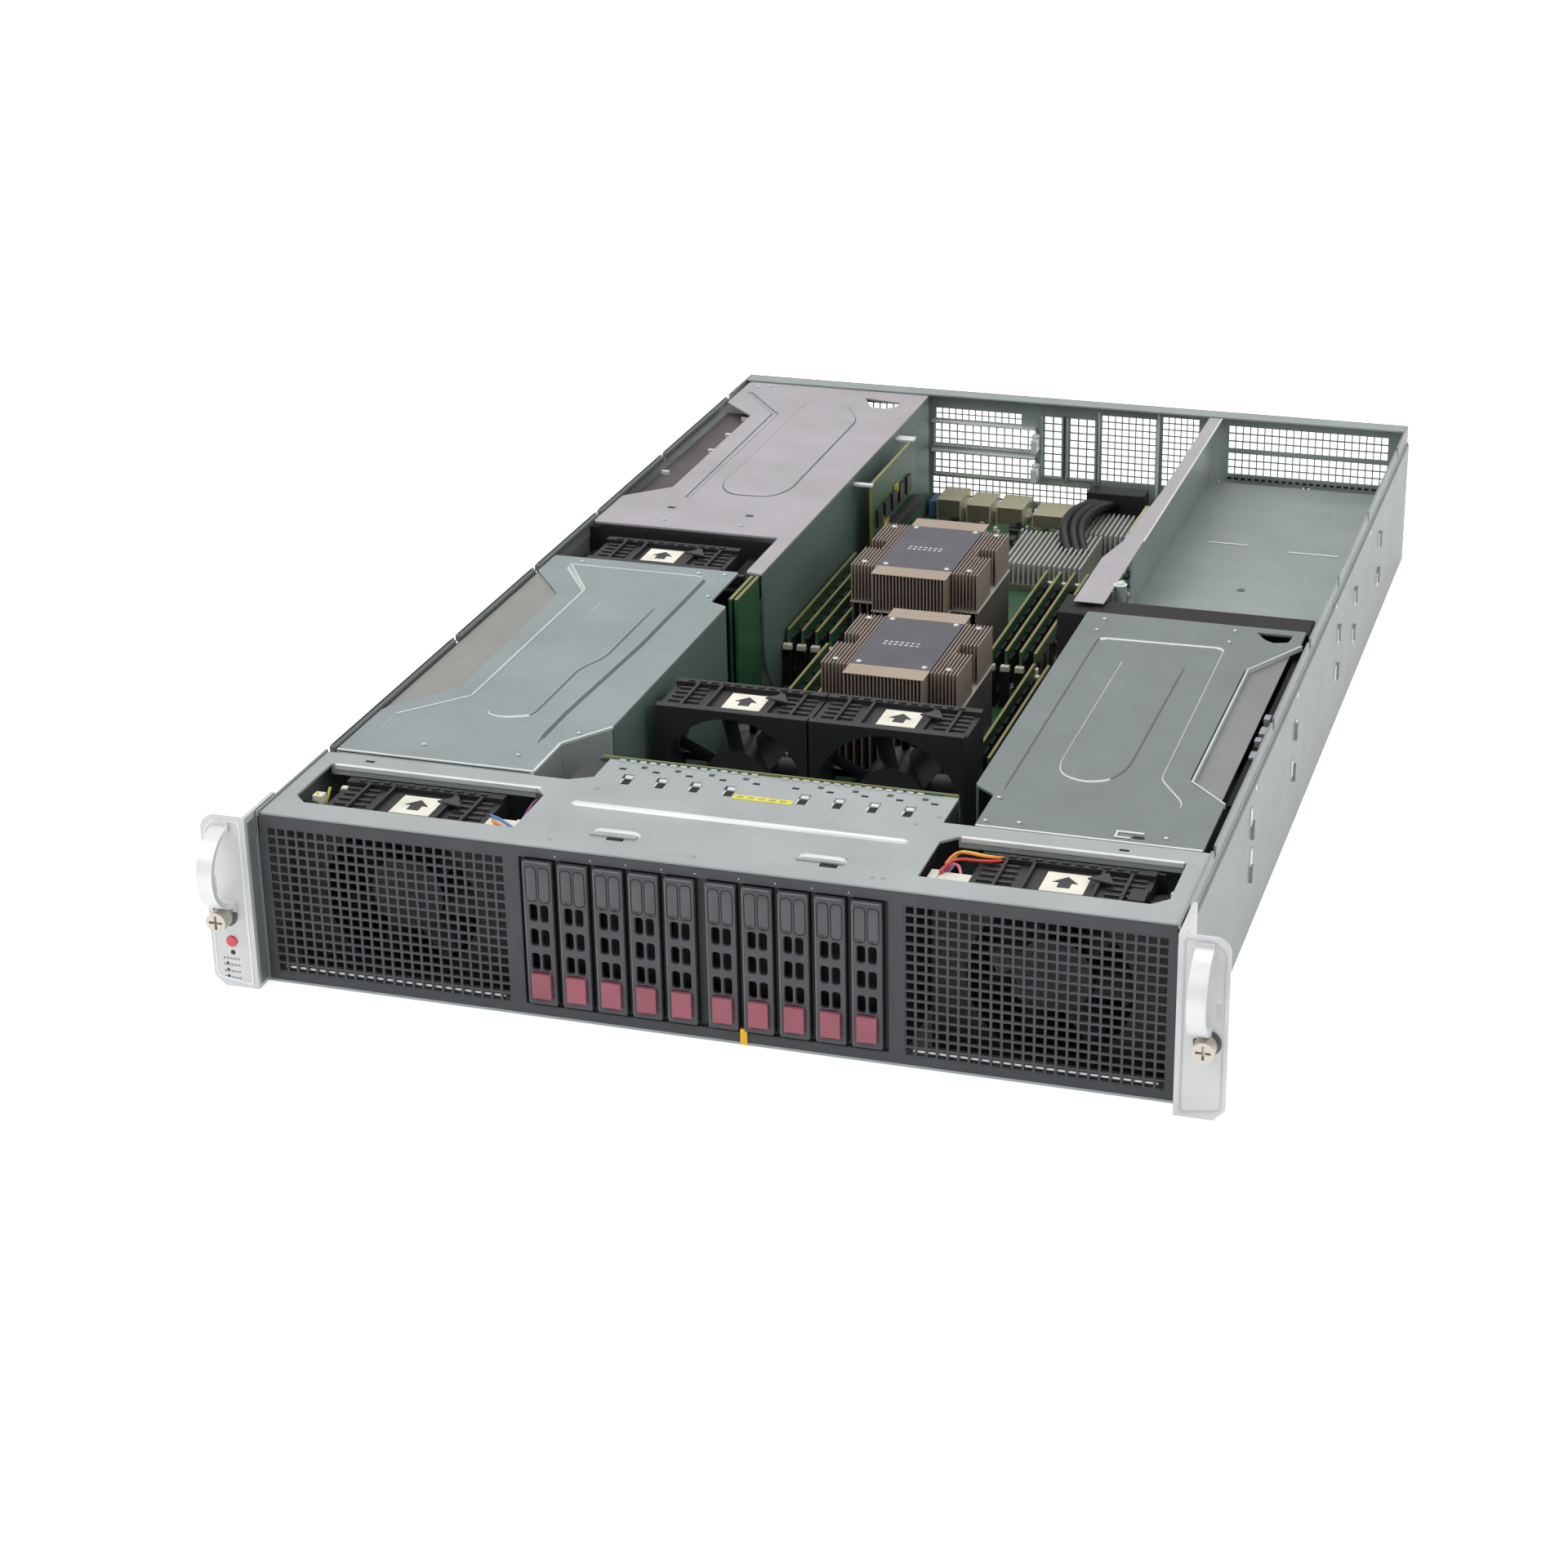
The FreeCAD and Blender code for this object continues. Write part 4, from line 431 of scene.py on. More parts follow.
def buildFrontPanel(look):
    left, base, right, top = look["grille"]
    bayLeft, bayBase, bayRight, bayTop = look["bay"]
    half = look["halfWidth"]
    xs = [-half, -right, -left, bayLeft, bayRight, left, right, half]
    zs = sorted({look["floor"], base, bayBase, top, bayTop, look["top"]})
    windows = [(-right, base, -left, top), (left, base, right, top), look["bay"]]
    bm = bmesh.new()
    windowPlate(bm, xs, zs, windows, 0, look["gauge"])
    panel = pieceFrom(bm, "front_plate", "frontPaint", "chassis", 0.4)
    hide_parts("front_panel")
    for side, start in (("left", -right), ("right", left)):
        uprightMesh("grille_" + side, (start, 0.9, base), (right - left, top - base),
                    (look["columns"], look["rows"]), "grillePaint", look["holeShare"],
                    look["meshGauge"])
    print("front panel")


def repeatBoxTree():          # one box at every point of the object's own mesh
    tree, given = startTree("repeatBox", [
        ("Geometry", "Geometry"), ("Box Size", "Vector"), ("Material", "Material")])
    box = addNode(tree, "GeometryNodeMeshCube", Size=given["Box Size"])
    boxes = addNode(tree, "GeometryNodeInstanceOnPoints", Points=given["Geometry"],
                    Instance=box.outputs["Mesh"])
    return endTree(tree, boxes.outputs[0], given["Material"])


def studTree():               # a domed rivet head at every point
    tree, given = startTree("stud", [
        ("Geometry", "Geometry"), ("Radius", "Float"), ("Flatten", "Vector"), ("Material", "Material")])
    ball = addNode(tree, "GeometryNodeMeshUVSphere", Segments=14, Rings=8, Radius=given["Radius"])
    smooth = addNode(tree, "GeometryNodeSetShadeSmooth", Geometry=ball.outputs["Mesh"])
    studs = addNode(tree, "GeometryNodeInstanceOnPoints", Points=given["Geometry"],
                    Instance=smooth.outputs[0], Scale=given["Flatten"])
    return endTree(tree, studs.outputs[0], given["Material"])


def scatterTree():            # small parts of random size over a rectangle
    tree, given = startTree("scatter", [
        ("Width", "Float"), ("Depth", "Float"), ("Density", "Float"), ("Seed", "Int"),
        ("Smallest", "Vector"), ("Largest", "Vector"), ("Material", "Material")])
    area = addNode(tree, "GeometryNodeMeshGrid", Size_X=given["Width"], Size_Y=given["Depth"],
                   Vertices_X=2, Vertices_Y=2)
    spots = addNode(tree, "GeometryNodeDistributePointsOnFaces", Mesh=area.outputs["Mesh"],
                    Density=given["Density"], Seed=given["Seed"])
    sizes = addNode(tree, "FunctionNodeRandomValue", {"data_type": "FLOAT_VECTOR"}, Seed=given["Seed"])
    link(tree, given["Smallest"], sizes.inputs[0])
    link(tree, given["Largest"], sizes.inputs[1])
    box = addNode(tree, "GeometryNodeMeshCube", Size=(1, 1, 1))
    bits = addNode(tree, "GeometryNodeInstanceOnPoints", Points=spots.outputs["Points"],
                   Instance=box.outputs["Mesh"], Scale=sizes.outputs[0])
    return endTree(tree, bits.outputs[0], given["Material"])


repeatBox = repeatBoxTree()
stud = studTree()
scatter = scatterTree()


def boxesAt(name, points, size, finish, body="chassis"):
    values = {"Box Size": [side * mm for side in size], "Material": finishes[finish]}
    corners = [at(*point) for point in points]
    return grow(name, repeatBox, values, Matrix.Identity(4), body, points=corners)


def studsAt(name, points, radius, finish, body="chassis", flatten=(1, 1, 0.5)):
    values = {"Radius": radius * mm, "Flatten": flatten, "Material": finishes[finish]}
    centres = [at(*point) for point in points]
    return grow(name, stud, values, Matrix.Identity(4), body, points=centres)


def finsAt(name, corner, count, pitch, size, finish, body="chassis"):     # fins repeated along X
    values = {"Count": count, "Pitch": (pitch * mm, 0, 0), "Fin Size": [side * mm for side in size],
              "Material": finishes[finish]}
    first = at(corner[0] + size[0] / 2, corner[1] + size[1] / 2, corner[2] + size[2] / 2)
    return grow(name, finRow, values, Matrix.Translation(first), body)


def boxPiece(name, corners, finish, body="chassis", bevel=0.2):           # several boxes as one piece
    bm = bmesh.new()
    for lowCorner, highCorner in corners:
        addBox(bm, at(*lowCorner), at(*highCorner))
    return pieceFrom(bm, name, finish, body, bevel)


def roundedPath(corners, radius, steps=5):      # each corner of a closed path turned into a small curve
    path = []
    for index, corner in enumerate(corners):
        here = Vector(corner[:2])
        reach = corner[2] if len(corner) > 2 else radius
        before = Vector(corners[index - 1][:2]) - here
        after = Vector(corners[(index + 1) % len(corners)][:2]) - here
        reach = min(reach, 0.48 * before.length, 0.48 * after.length)
        if reach <= 0:
            path.append(here)
            continue
        start, end = here + before.normalized() * reach, here + after.normalized() * reach
        for step in range(steps + 1):
            share = step / steps
            path.append(start * (1 - share) ** 2 + here * 2 * share * (1 - share) + end * share ** 2)
    return path


def spaced(path, pitch):                        # a closed path with no step longer than the pitch
    points = []
    for index, point in enumerate(path):
        following = path[(index + 1) % len(path)]
        count = max(1, math.ceil((following - point).length / pitch))
        points += [point.lerp(following, step / count) for step in range(count)]
    return points


def insideDistance(points, path):               # how far each point lies inside a closed path
    starts = np.array([tuple(point) for point in path])
    ends = np.roll(starts, -1, axis=0)
    nearest = np.full(len(points), 1e9)
    inside = np.zeros(len(points), dtype=bool)
    for start, end in zip(starts, ends):
        along = end - start
        share = np.clip(((points - start) @ along) / max(along @ along, 1e-9), 0, 1)
        gap = points - (start + share[:, None] * along)
        nearest = np.minimum(nearest, np.hypot(gap[:, 0], gap[:, 1]))
        crossing = (start[1] > points[:, 1]) != (end[1] > points[:, 1])
        rise = along[1] if abs(along[1]) > 1e-9 else 1e-9
        inside ^= crossing & (points[:, 0] < start[0] + (points[:, 1] - start[1]) / rise * along[0])
    return np.where(inside, nearest, -nearest)


def smoothStep(values, start, end):
    share = np.clip((values - start) / (end - start), 0, 1)
    return share * share * (3 - 2 * share)


pressing = {"pitch": 2.0, "rowShare": 0.87,     # the staggered grid across a sheet, in mm
            "pathPitch": 1.6, "offsets": (-0.8, -0.35, 0.35, 0.8), "halfStep": 0.8,
            "clear": 1.3, "margin": 0.6, "flatNormal": 0.93, "sideShare": 0.75, "sharpAngle": 38}


def insideSheet(points, outline, holes, margin):
    inside = insideDistance(points, outline) > margin
    for hole in holes:
        inside &= insideDistance(points, hole) < -margin
    return inside


def fieldPath(field):
    return roundedPath(field["path"], field.get("corner", 5))


def sheetPoints(outline, holes, fields):      # a grid over the sheet, and rows along both edges of each step
    if not fields:
        return []
    pitch, rise = pressing["pitch"], pressing["pitch"] * pressing["rowShare"]
    xs, ys = [point.x for point in outline], [point.y for point in outline]
    rows, columns = int((max(ys) - min(ys)) / rise), int((max(xs) - min(xs)) / pitch)
    grid = np.array([(min(xs) + (column + 0.5 * (row % 2)) * pitch, min(ys) + row * rise)
                     for row in range(rows + 1) for column in range(columns + 2)])
    grid = grid[insideSheet(grid, outline, holes, 0.5 * pitch)]
    steps = []
    for field in fields:
        path = spaced(fieldPath(field), pressing["pathPitch"])
        grid = grid[np.abs(insideDistance(grid, path)) > pressing["clear"]]
        for index, point in enumerate(path):
            ahead = (path[(index + 1) % len(path)] - path[index - 1]).normalized()
            steps += [tuple(point + reach * Vector((ahead.y, -ahead.x))) for reach in pressing["offsets"]]
    steps = np.array(steps)
    return np.concatenate([grid, steps[insideSheet(steps, outline, holes, pressing["margin"])]])


def pressedHeights(places, fields):             # how far each point is pushed up or down
    heights = np.zeros(len(places))
    reach = pressing["halfStep"]
    for field in fields:
        lift = smoothStep(insideDistance(places, fieldPath(field)), -reach, reach)
        if "fade" in field:
            start, end = field["fade"]
            if start < end:
                lift *= smoothStep(places[:, 1], start, end)
            else:
                lift *= 1 - smoothStep(places[:, 1], end, start)
        heights += lift * field["rise"]
    return heights


def pressedPlate(name, look, finish, body="chassis", upright=False):
    fields = look.get("fields", ())
    outline = roundedPath(look["outline"], look["corner"])
    holes = [roundedPath(hole, look["holeCorner"]) for hole in look.get("holes", ())]
    flat, edges = [], []
    for path in [outline] + holes:
        ring = spaced(path, pressing["pitch"])
        first = len(flat)
        flat += [tuple(point) for point in ring]
        edges += [(first + index, first + (index + 1) % len(ring)) for index in range(len(ring))]
    flat += [tuple(point) for point in sheetPoints(outline, holes, fields)]
    points, _, faces, *_ = delaunay_2d_cdt([Vector(point) for point in flat], edges, [], 1, 0.0001)
    places = np.array([tuple(point) for point in points])
    heights = pressedHeights(places, fields)
    centres = np.array([places[list(face)].mean(axis=0) for face in faces])
    solid = insideSheet(centres, outline, holes, 0)
    if upright:
        corners = [at(x, look["face"] - lift, z) for (x, z), lift in zip(places, heights)]
    else:
        corners = [at(x, y, look["top"] + lift) for (x, y), lift in zip(places, heights)]
    mesh = bpy.data.meshes.new(name)
    mesh.from_pydata(corners, [], [face for face, kept in zip(faces, solid) if kept])
    bm = bmesh.new()
    bm.from_mesh(mesh)
    bmesh.ops.delete(bm, geom=[vertex for vertex in bm.verts if not vertex.link_faces], context="VERTS")
    facing = Vector((0, -1, 0)) if upright else Vector((0, 0, 1))
    turned = [face for face in bm.faces if face.normal.dot(facing) < 0]
    bmesh.ops.reverse_faces(bm, faces=turned)
    bm.normal_update()
    for face in bm.faces:                       # steep faces of the bent steps get a painted highlight finish, and those facing +x a painted shade finish
        if look.get("bendHighlightAndShade") and face.normal.z < pressing["flatNormal"]:
            face.material_index = 2 if face.normal.x > pressing["sideShare"] * face.normal.xy.length else 1
    bm.to_mesh(mesh)
    bm.free()
    piece = bpy.data.objects.new(name, mesh)
    bpy.context.collection.objects.link(piece)
    for layer in (finish,) + look.get("bendHighlightAndShade", ()):
        mesh.materials.append(finishes[layer])
    sheet = piece.modifiers.new("gauge", "SOLIDIFY")
    sheet.thickness = look["gauge"] * mm
    sheet.offset = -1
    if look.get("bevel"):
        soften(piece, look["bevel"])
    bake(piece)
    piece.data.shade_smooth()
    piece.data.set_sharp_from_angle(angle=math.radians(pressing["sharpAngle"]))
    return settle(piece, body)


frontLeftLid = {
    "outline": ((-213.5, 78.5, 0.5), (-111, 78.5), (-111, 113.5), (-94, 138.5), (-94, 312), (-104.5, 316.5),
                (-104.5, 364), (-213.5, 364), (-213.5, 338), (-190, 307), (-187, 168), (-211, 136),
                (-213.5, 130)),
    "top": 87.0, "gauge": 1.2, "corner": 2.0, "bendHighlightAndShade": ("bendHighlightZinc", "darkZincAndShade"),
    "fields": (
        {"path": ((-204, 124), (-176, 156), (-176, 312), (-201, 349), (-118, 349), (-118, 245), (-122, 150),
                  (-122, 96), (-204, 96)), "rise": 1.2, "fade": (100, 124), "corner": 6},
        {"path": ((-160, 136), (-150, 133), (-136, 139), (-136, 202), (-129, 222), (-129, 332), (-160, 332)),
         "rise": 0.9, "fade": (330, 260), "corner": 6}),
    "studs": ((-175, 114), (-175, 95), (-127, 114), (-126, 95), (-195, 358), (-125.5, 356.5),
              (-111.0, 358.3), (-108.7, 323.9), (-107.3, 127.8)),
}
rearLeftLid = {
    "outline": ((-213.5, 424), (-101, 424), (-101, 366), (-91.5, 364), (-91.5, 711), (-213.5, 711),
                (-213.5, 664), (-190, 641), (-190, 494), (-213.5, 471)),
    "top": 87.0, "gauge": 1.2, "corner": 1.5, "bendHighlightAndShade": ("darkZincAndShade", "darkZincAndShade"),
    "holes": (((-130, 696), (-105, 691), (-105, 684), (-111, 677), (-121, 678)),
              ((-180.5, 456.5), (-175.5, 456.5), (-175.5, 460.5), (-180.5, 460.5)),
              ((-131.5, 454), (-126.5, 454), (-126.5, 458), (-131.5, 458))),
    "holeCorner": 1.5,
    "fields": (
        {"path": ((-163, 504), (-153, 488), (-127, 490), (-120, 506), (-121, 648), (-146, 694), (-163, 694)),
         "rise": 0.9, "fade": (690, 655), "corner": 9},
        {"path": ((-176.5, 478), (-174, 478), (-174, 648), (-176, 651), (-206, 690), (-208, 689),
                  (-178, 649)),
         "rise": -0.6, "corner": 0.6}),
    "studs": ((-129, 439), (-175.0, 437.2), (-205, 702), (-198, 705)),
}
frontRightLid = {
    "outline": ((106.5, 75.5, 0.5), (212.5, 75.5, 0.5), (212.5, 127), (191.5, 149.5, 5), (191.5, 296, 5),
                (213.3, 335, 4), (213.3, 356), (95.5, 356), (95.5, 120), (106.5, 111)),
    "top": 87.0, "gauge": 1.2, "corner": 1.5, "bendHighlightAndShade": ("bendHighlightZinc", "darkZincAndShade"),
    "holes": (((188, 349), (207.5, 349), (206.5, 338.5), (199, 336), (194, 339.5)),
              ((178.5, 80.5), (184.5, 80.5), (184.5, 83.8), (178.5, 83.8))),
    "holeCorner": 1.5,
    "fields": (
        {"path": ((128.5, 318), (127.5, 156), (131, 143), (143.5, 137), (155, 142), (160.5, 158),
                  (161, 318)),
         "rise": 0.9, "fade": (306, 276), "corner": 8},
        {"path": ((109.5, 321), (176, 323), (178, 150), (193, 126), (193.7, 96), (109.5, 96)),
         "rise": -0.9, "fade": (104, 135), "corner": 5}),
    "studs": ((106.6, 347.2), (176.7, 348.3), (106.0, 331.1), (176.6, 331.6), (109.6, 108.5), (125.4, 83.7),
              (109.9, 82.1), (193.7, 84.8)),
}


def cornerSkirt(name, path, base, top, finish):                  # bent-down edge along an open path
    bm = bmesh.new()
    for start, end in zip(path, path[1:]):
        along = (Vector(end) - Vector(start)).normalized() * 1.2
        side = Vector((-along.y, along.x))
        corners = (Vector(start), Vector(end), Vector(end) + side, Vector(start) + side)
        addPrism(bm, [at(corner.x, corner.y, base) for corner in corners], Vector((0, 0, (top - base) * mm)))
    return pieceFrom(bm, name, finish, "chassis", 0.2)


def buildLids():
    # the three lids are one zinc: the rear left lid takes a lighter pink copy as painted sheen, the front
    # right lid a darker copy as painted shade
    lids = (("gpu_cover_front_left", frontLeftLid, "lidZinc"),
            ("gpu_cover_rear_left", rearLeftLid, "pinkSheenZinc"),
            ("gpu_cover_front_right", frontRightLid, "shadedZinc"))
    for node, look, finish in lids:
        lid = pressedPlate(node + "_pressed", look, finish)
        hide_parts(node)
        # bright domes as painted highlight, each with a dark patch set off to one side as its painted shadow
        domes = [(x, y, look["top"] + 0.05) for x, y in look["studs"]]
        rims = [(x + 0.9, y - 1.3, look["top"] + 0.02) for x, y in look["studs"]]
        studsAt(node + "_studs", domes, 1.15, "bendHighlightZinc")
        boxesAt(node + "_stud_shadows", rims, (2.4, 1.1, 0.1), "darkZincAndShade")
    bm = bmesh.new()                                          # stepped skirt under the left lid's front edge
    profile = ((78.5, 86.9), (78.5, 83.2), (74.5, 83.2), (74.5, 82.0), (79.7, 82.0), (79.7, 86.9))
    addPrism(bm, [at(-213.5, y, z) for y, z in profile], Vector((102.5 * mm, 0, 0)))
    skirt = pieceFrom(bm, "gpu_cover_skirt", "brightZincAndHighlight", "chassis", 0.35)
    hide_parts("gpu_cover_front_left")
    cornerSkirt("lid_corner_skirt", ((-110.8, 79), (-110.8, 113.5), (-93.8, 138.5)), 40, 86.2, "zinc")
    cornerSkirt("lid_corner_rim", ((-110.5, 79), (-110.5, 113.6), (-93.4, 138.8)), 86.0, 87.5, "brightZincAndHighlight")
    # a bright rim round the right lid's notch: painted highlight
    notch = ((213.6, 336), (192.3, 296.5), (192.3, 149.8), (212, 128.2))
    cornerSkirt("notch_rim_right", notch, 84.4, 87.2, "bendHighlightZinc")
    # bright strips along the lids' front edges: painted highlight
    rims = (((-213.3, 78.4, 86.2), (-111.3, 79.4, 87.35)), ((106.8, 75.4, 84.6), (212.3, 76.6, 87.35)))
    boxPiece("lid_rims", rims, "brightZincAndHighlight", bevel=0.4)
    boxPiece("card_floor_left", (((-213, 471, 78.8), (-186, 664, 80.0)),), "brownCard")
    boxPiece("card_tabs", [((x, y, 80), (x + 5, y + 2.4, 82.6)) for x, y in
                           ((-199, 648), (-198, 613), (-198, 580), (-212, 533))], "brightZincAndHighlight")
    # the card seen through the right notch, in a darker grey: painted shade
    boxPiece("card_floor_right", (((192, 128, 83.6), (209.5, 340, 84.4)),), "shadedNotchGrey")
    # a flat step in brownish zinc along the left lid's edge: painted reflection
    bm = bmesh.new()
    step = ((-213.4, 338), (-189.5, 308), (-186.5, 167), (-211, 135), (-213.4, 130))
    addPrism(bm, [at(x, y, 85.2) for x, y in step], Vector((0, 0, 0.8 * mm)))
    pieceFrom(bm, "lid_step_left", "brownReflectionZinc", "chassis", 0.1)
    # a raised bead along the pressed field in bright zinc: painted highlight on the step
    bead = ((-121, 349.4), (-199, 349.4), (-176.4, 313), (-176.4, 156), (-203, 125))
    cornerSkirt("lid_bead", bead, 87.2, 88.6, "bendHighlightZinc")
    boxPiece("finger_hole_shade", (((-132, 674, 74), (-103, 699, 75)),), "shadeAndJointBlack")
    shades = (((-213, 368, 60), (-200, 420, 71)), ((-118, 368, 60), (-103, 420, 74)),
              ((-217, 424.6, 50), (-92.4, 425.2, 83)))
    boxPiece("fan_bay_shade", shades, "shadeAndJointBlack")
    boxPiece("wall_shadow_right", (((210.6, 142, 79), (215.4, 330, 80.4)),), "shadeAndJointBlack")
    bits = [((211.2, y, 80.4), (214.6, y + deep, 80.4 + tall))
            for y, deep, tall in ((196, 8, 2), (212, 5, 4), (224, 9, 3), (238, 6, 5))]
    boxPiece("wall_bits_right", bits, "canMetal", bevel=0.4)
    tabs = (((170.5, 85.2, 87.0), (183.5, 86.6, 87.7)), ((170.5, 79.6, 87.0), (178, 80.6, 87.6)),
            ((170.5, 80.6, 87.0), (171.6, 85.2, 87.5)))
    boxPiece("lid_tabs", tabs, "brightZincAndHighlight", bevel=0.3)
    lips = ((78.6, 225.5), (231.5, 336.5), (342.5, 433.5), (439.5, 545.5), (551.5, 669.5))
    for number, (start, end) in enumerate(lips):
        lip = ((-217.6, start, 84.5), (-214.0, end, 88.0))
        boxPiece("wall_lip_%d" % number, (lip,), "darkZincAndShade", bevel=0.6)
    print("pressed lids")


deck = {"rib": (-80.5, 83.0, 48.8), "hooks": (-64.1, -47.1, -30.1, -13.1, 23.0, 40.0, 57.0, 74.0),
        "slotRows": (-71.0, -54.2, -37.5, -20.7, -4.0, 15.4, 32.3, 49.2, 66.1, 83.0), "top": 87.2}


def buildDeck(look):
    start, end, along = look["rib"]
    top = look["top"]
    bm = bmesh.new()
    section = [(2.3, -0.3), (1.9, 0.7), (1.0, 1.25), (0, 1.45), (-1.0, 1.25), (-1.9, 0.7), (-2.3, -0.3)]
    rings = []
    stations = ((start, 0.05), (start + 0.8, 0.6), (start + 2.5, 1), (end - 2.5, 1), (end - 0.8, 0.6),
                (end, 0.05))
    for x, share in stations:
        rings.append([bm.verts.new(at(x, along + y * share, top + max(z, -0.3) * (share if z > 0 else 1)))
                      for y, z in section])
    for first, second in zip(rings, rings[1:]):
        for index in range(len(section) - 1):
            bm.faces.new((first[index], first[index + 1], second[index + 1], second[index]))
    bmesh.ops.recalc_face_normals(bm, faces=bm.faces[:])
    for face in bm.faces:
        face.smooth = True
        if face.normal.z < 0:
            face.normal_flip()
    pieceFrom(bm, "deck_rib", "brightZincAndHighlight", "chassis", 0)
    bm = bmesh.new()
    for middle in look["hooks"]:                                # lanced tabs behind their own openings
        profile = ((81.4, 0.1), (81.6, 0.7), (82.4, 1.0), (84.0, 1.0), (84.8, 0.5), (85.0, -0.3),
                   (81.8, -0.3))
        addPrism(bm, [at(middle - 1.9, y, top + z) for y, z in profile], Vector((3.8 * mm, 0, 0)))
    pieceFrom(bm, "deck_hooks", "bendHighlightZinc", "chassis", 0.2)
    # near-black patches for the openings behind the tabs: painted shade
    boxesAt("deck_hook_slots", [(x, 78.4, top) for x in look["hooks"]], (4.0, 5.8, 0.12), "shadeAndJointBlack")
    # light strips on the tabs' edges: painted highlight
    edges = [(x - 2.3, 78.4, top + 0.05) for x in look["hooks"]]
    boxesAt("deck_hook_edges", edges, (0.8, 5.0, 0.4), "bendHighlightZinc")
    # near-black patches for the small slots: painted shade
    slots = [(x, 92.4, top) for x in look["slotRows"]]
    boxesAt("deck_small_slots", slots, (3.4, 2.0, 0.12), "shadeAndJointBlack")
    bm = bmesh.new()
    for middle, along in ((-47.6, 22.4), (50.5, 21.4)):         # raised bridges with the opening in front
        profile = ((-11.6, -0.3), (-10.6, 0.8), (-8, 1.5), (8, 1.5), (10.6, 0.8), (11.6, -0.3))
        addPrism(bm, [at(middle + x, along - 1.5, top + z) for x, z in profile], Vector((0, 3.2 * mm, 0)))
    pieceFrom(bm, "deck_bridges", "brightZincAndHighlight", "chassis", 0.3)
    # near-black patches for the bridges' openings and slots: painted shade
    holes = [(-46.5, 17.8, top), (55.0, 16.8, top)]
    boxesAt("deck_bridge_holes", holes, (8.2, 4.8, 0.14), "shadeAndJointBlack")
    slots = [(-47.6, 20.4, top), (50.5, 19.4, top)]
    boxesAt("deck_bridge_slots", slots, (17.0, 1.2, 0.14), "shadeAndJointBlack")
    studs = ((-74.8, 67.7), (-75.5, 9.2), (-6, 9.3), (80.3, 69.4), (77.2, 10.1), (82, 10.5), (89, 79.4))
    studsAt("deck_studs", [(x, y, top + 0.05) for x, y in studs], 1.1, "zinc")
    label = ((-10, 73.6, top), (19.0, 78.2, top + 0.25))
    boxPiece("deck_label", (label,), "labelYellow", bevel=0.05)
    marks = [((x, 75.0, top + 0.25), (x + 3.2, 76.8, top + 0.33)) for x in (-8, -2.8, 2.4, 7.6, 12.8)]
    boxPiece("deck_label_marks", marks, "labelShade", bevel=0)
    rims = [((-206, 60.4, 84.5), (-100, 62.4, 87.5)), ((104, 60.4, 84.5), (207, 62.4, 87.5))]
    boxPiece("deck_lips", rims, "brightZincAndHighlight", bevel=0.6)
    # near-black patches for the notches: painted shade
    boxesAt("deck_notches", [(-191, 68.2, top), (178.3, 66.8, top)], (4.5, 2.0, 0.14), "shadeAndJointBlack")
    points = [(-74 + 5.1 * step, 101.0, top + 0.3) for step in range(30) if step not in (14, 15)]
    boxesAt("backplane_plugs", points, (3.0, 1.1, 1.0), "markGrey")
    strips = (((-76, 102.1, 87.0), (-6, 103.3, 88.0)), ((60, 102.1, 87.0), (84, 103.3, 88.0)))
    boxPiece("backplane_edge", strips, "boardGreen", bevel=0.1)
    rim = ((-85.5, 103.3, 87.0), (91.5, 104.1, 88.1))
    boxPiece("backplane_rim", (rim,), "boardEdge", bevel=0.1)
    print("deck")


carrier = {"pitch": 17.0, "fifthLeft": -16.75, "sixthLeft": 2.75, "width": 14.0, "floor": 7.9,
           "height": 72.6, "face": -2.0, "pads": ((1.5, 6.2), (7.8, 12.5)), "padRows": (60.6, 77.6),
           "ventColumns": ((2.3, 6.4), (7.6, 11.7)), "ventRows": ((25.4, 34.2), (37.8, 46.6), (50.2, 59.0)),
           "well": (2.1, 10.3, 11.2, 24.7)}


def carrierLeft(number):                        # a wide post parts the fifth carrier from the sixth
    if number <= 5:
        return carrier["fifthLeft"] - (5 - number) * carrier["pitch"]
    return carrier["sixthLeft"] + (number - 6) * carrier["pitch"]


def slotShape(left, base, right, top):
    return ((left, base), (right, base), (right, top), (left, top))


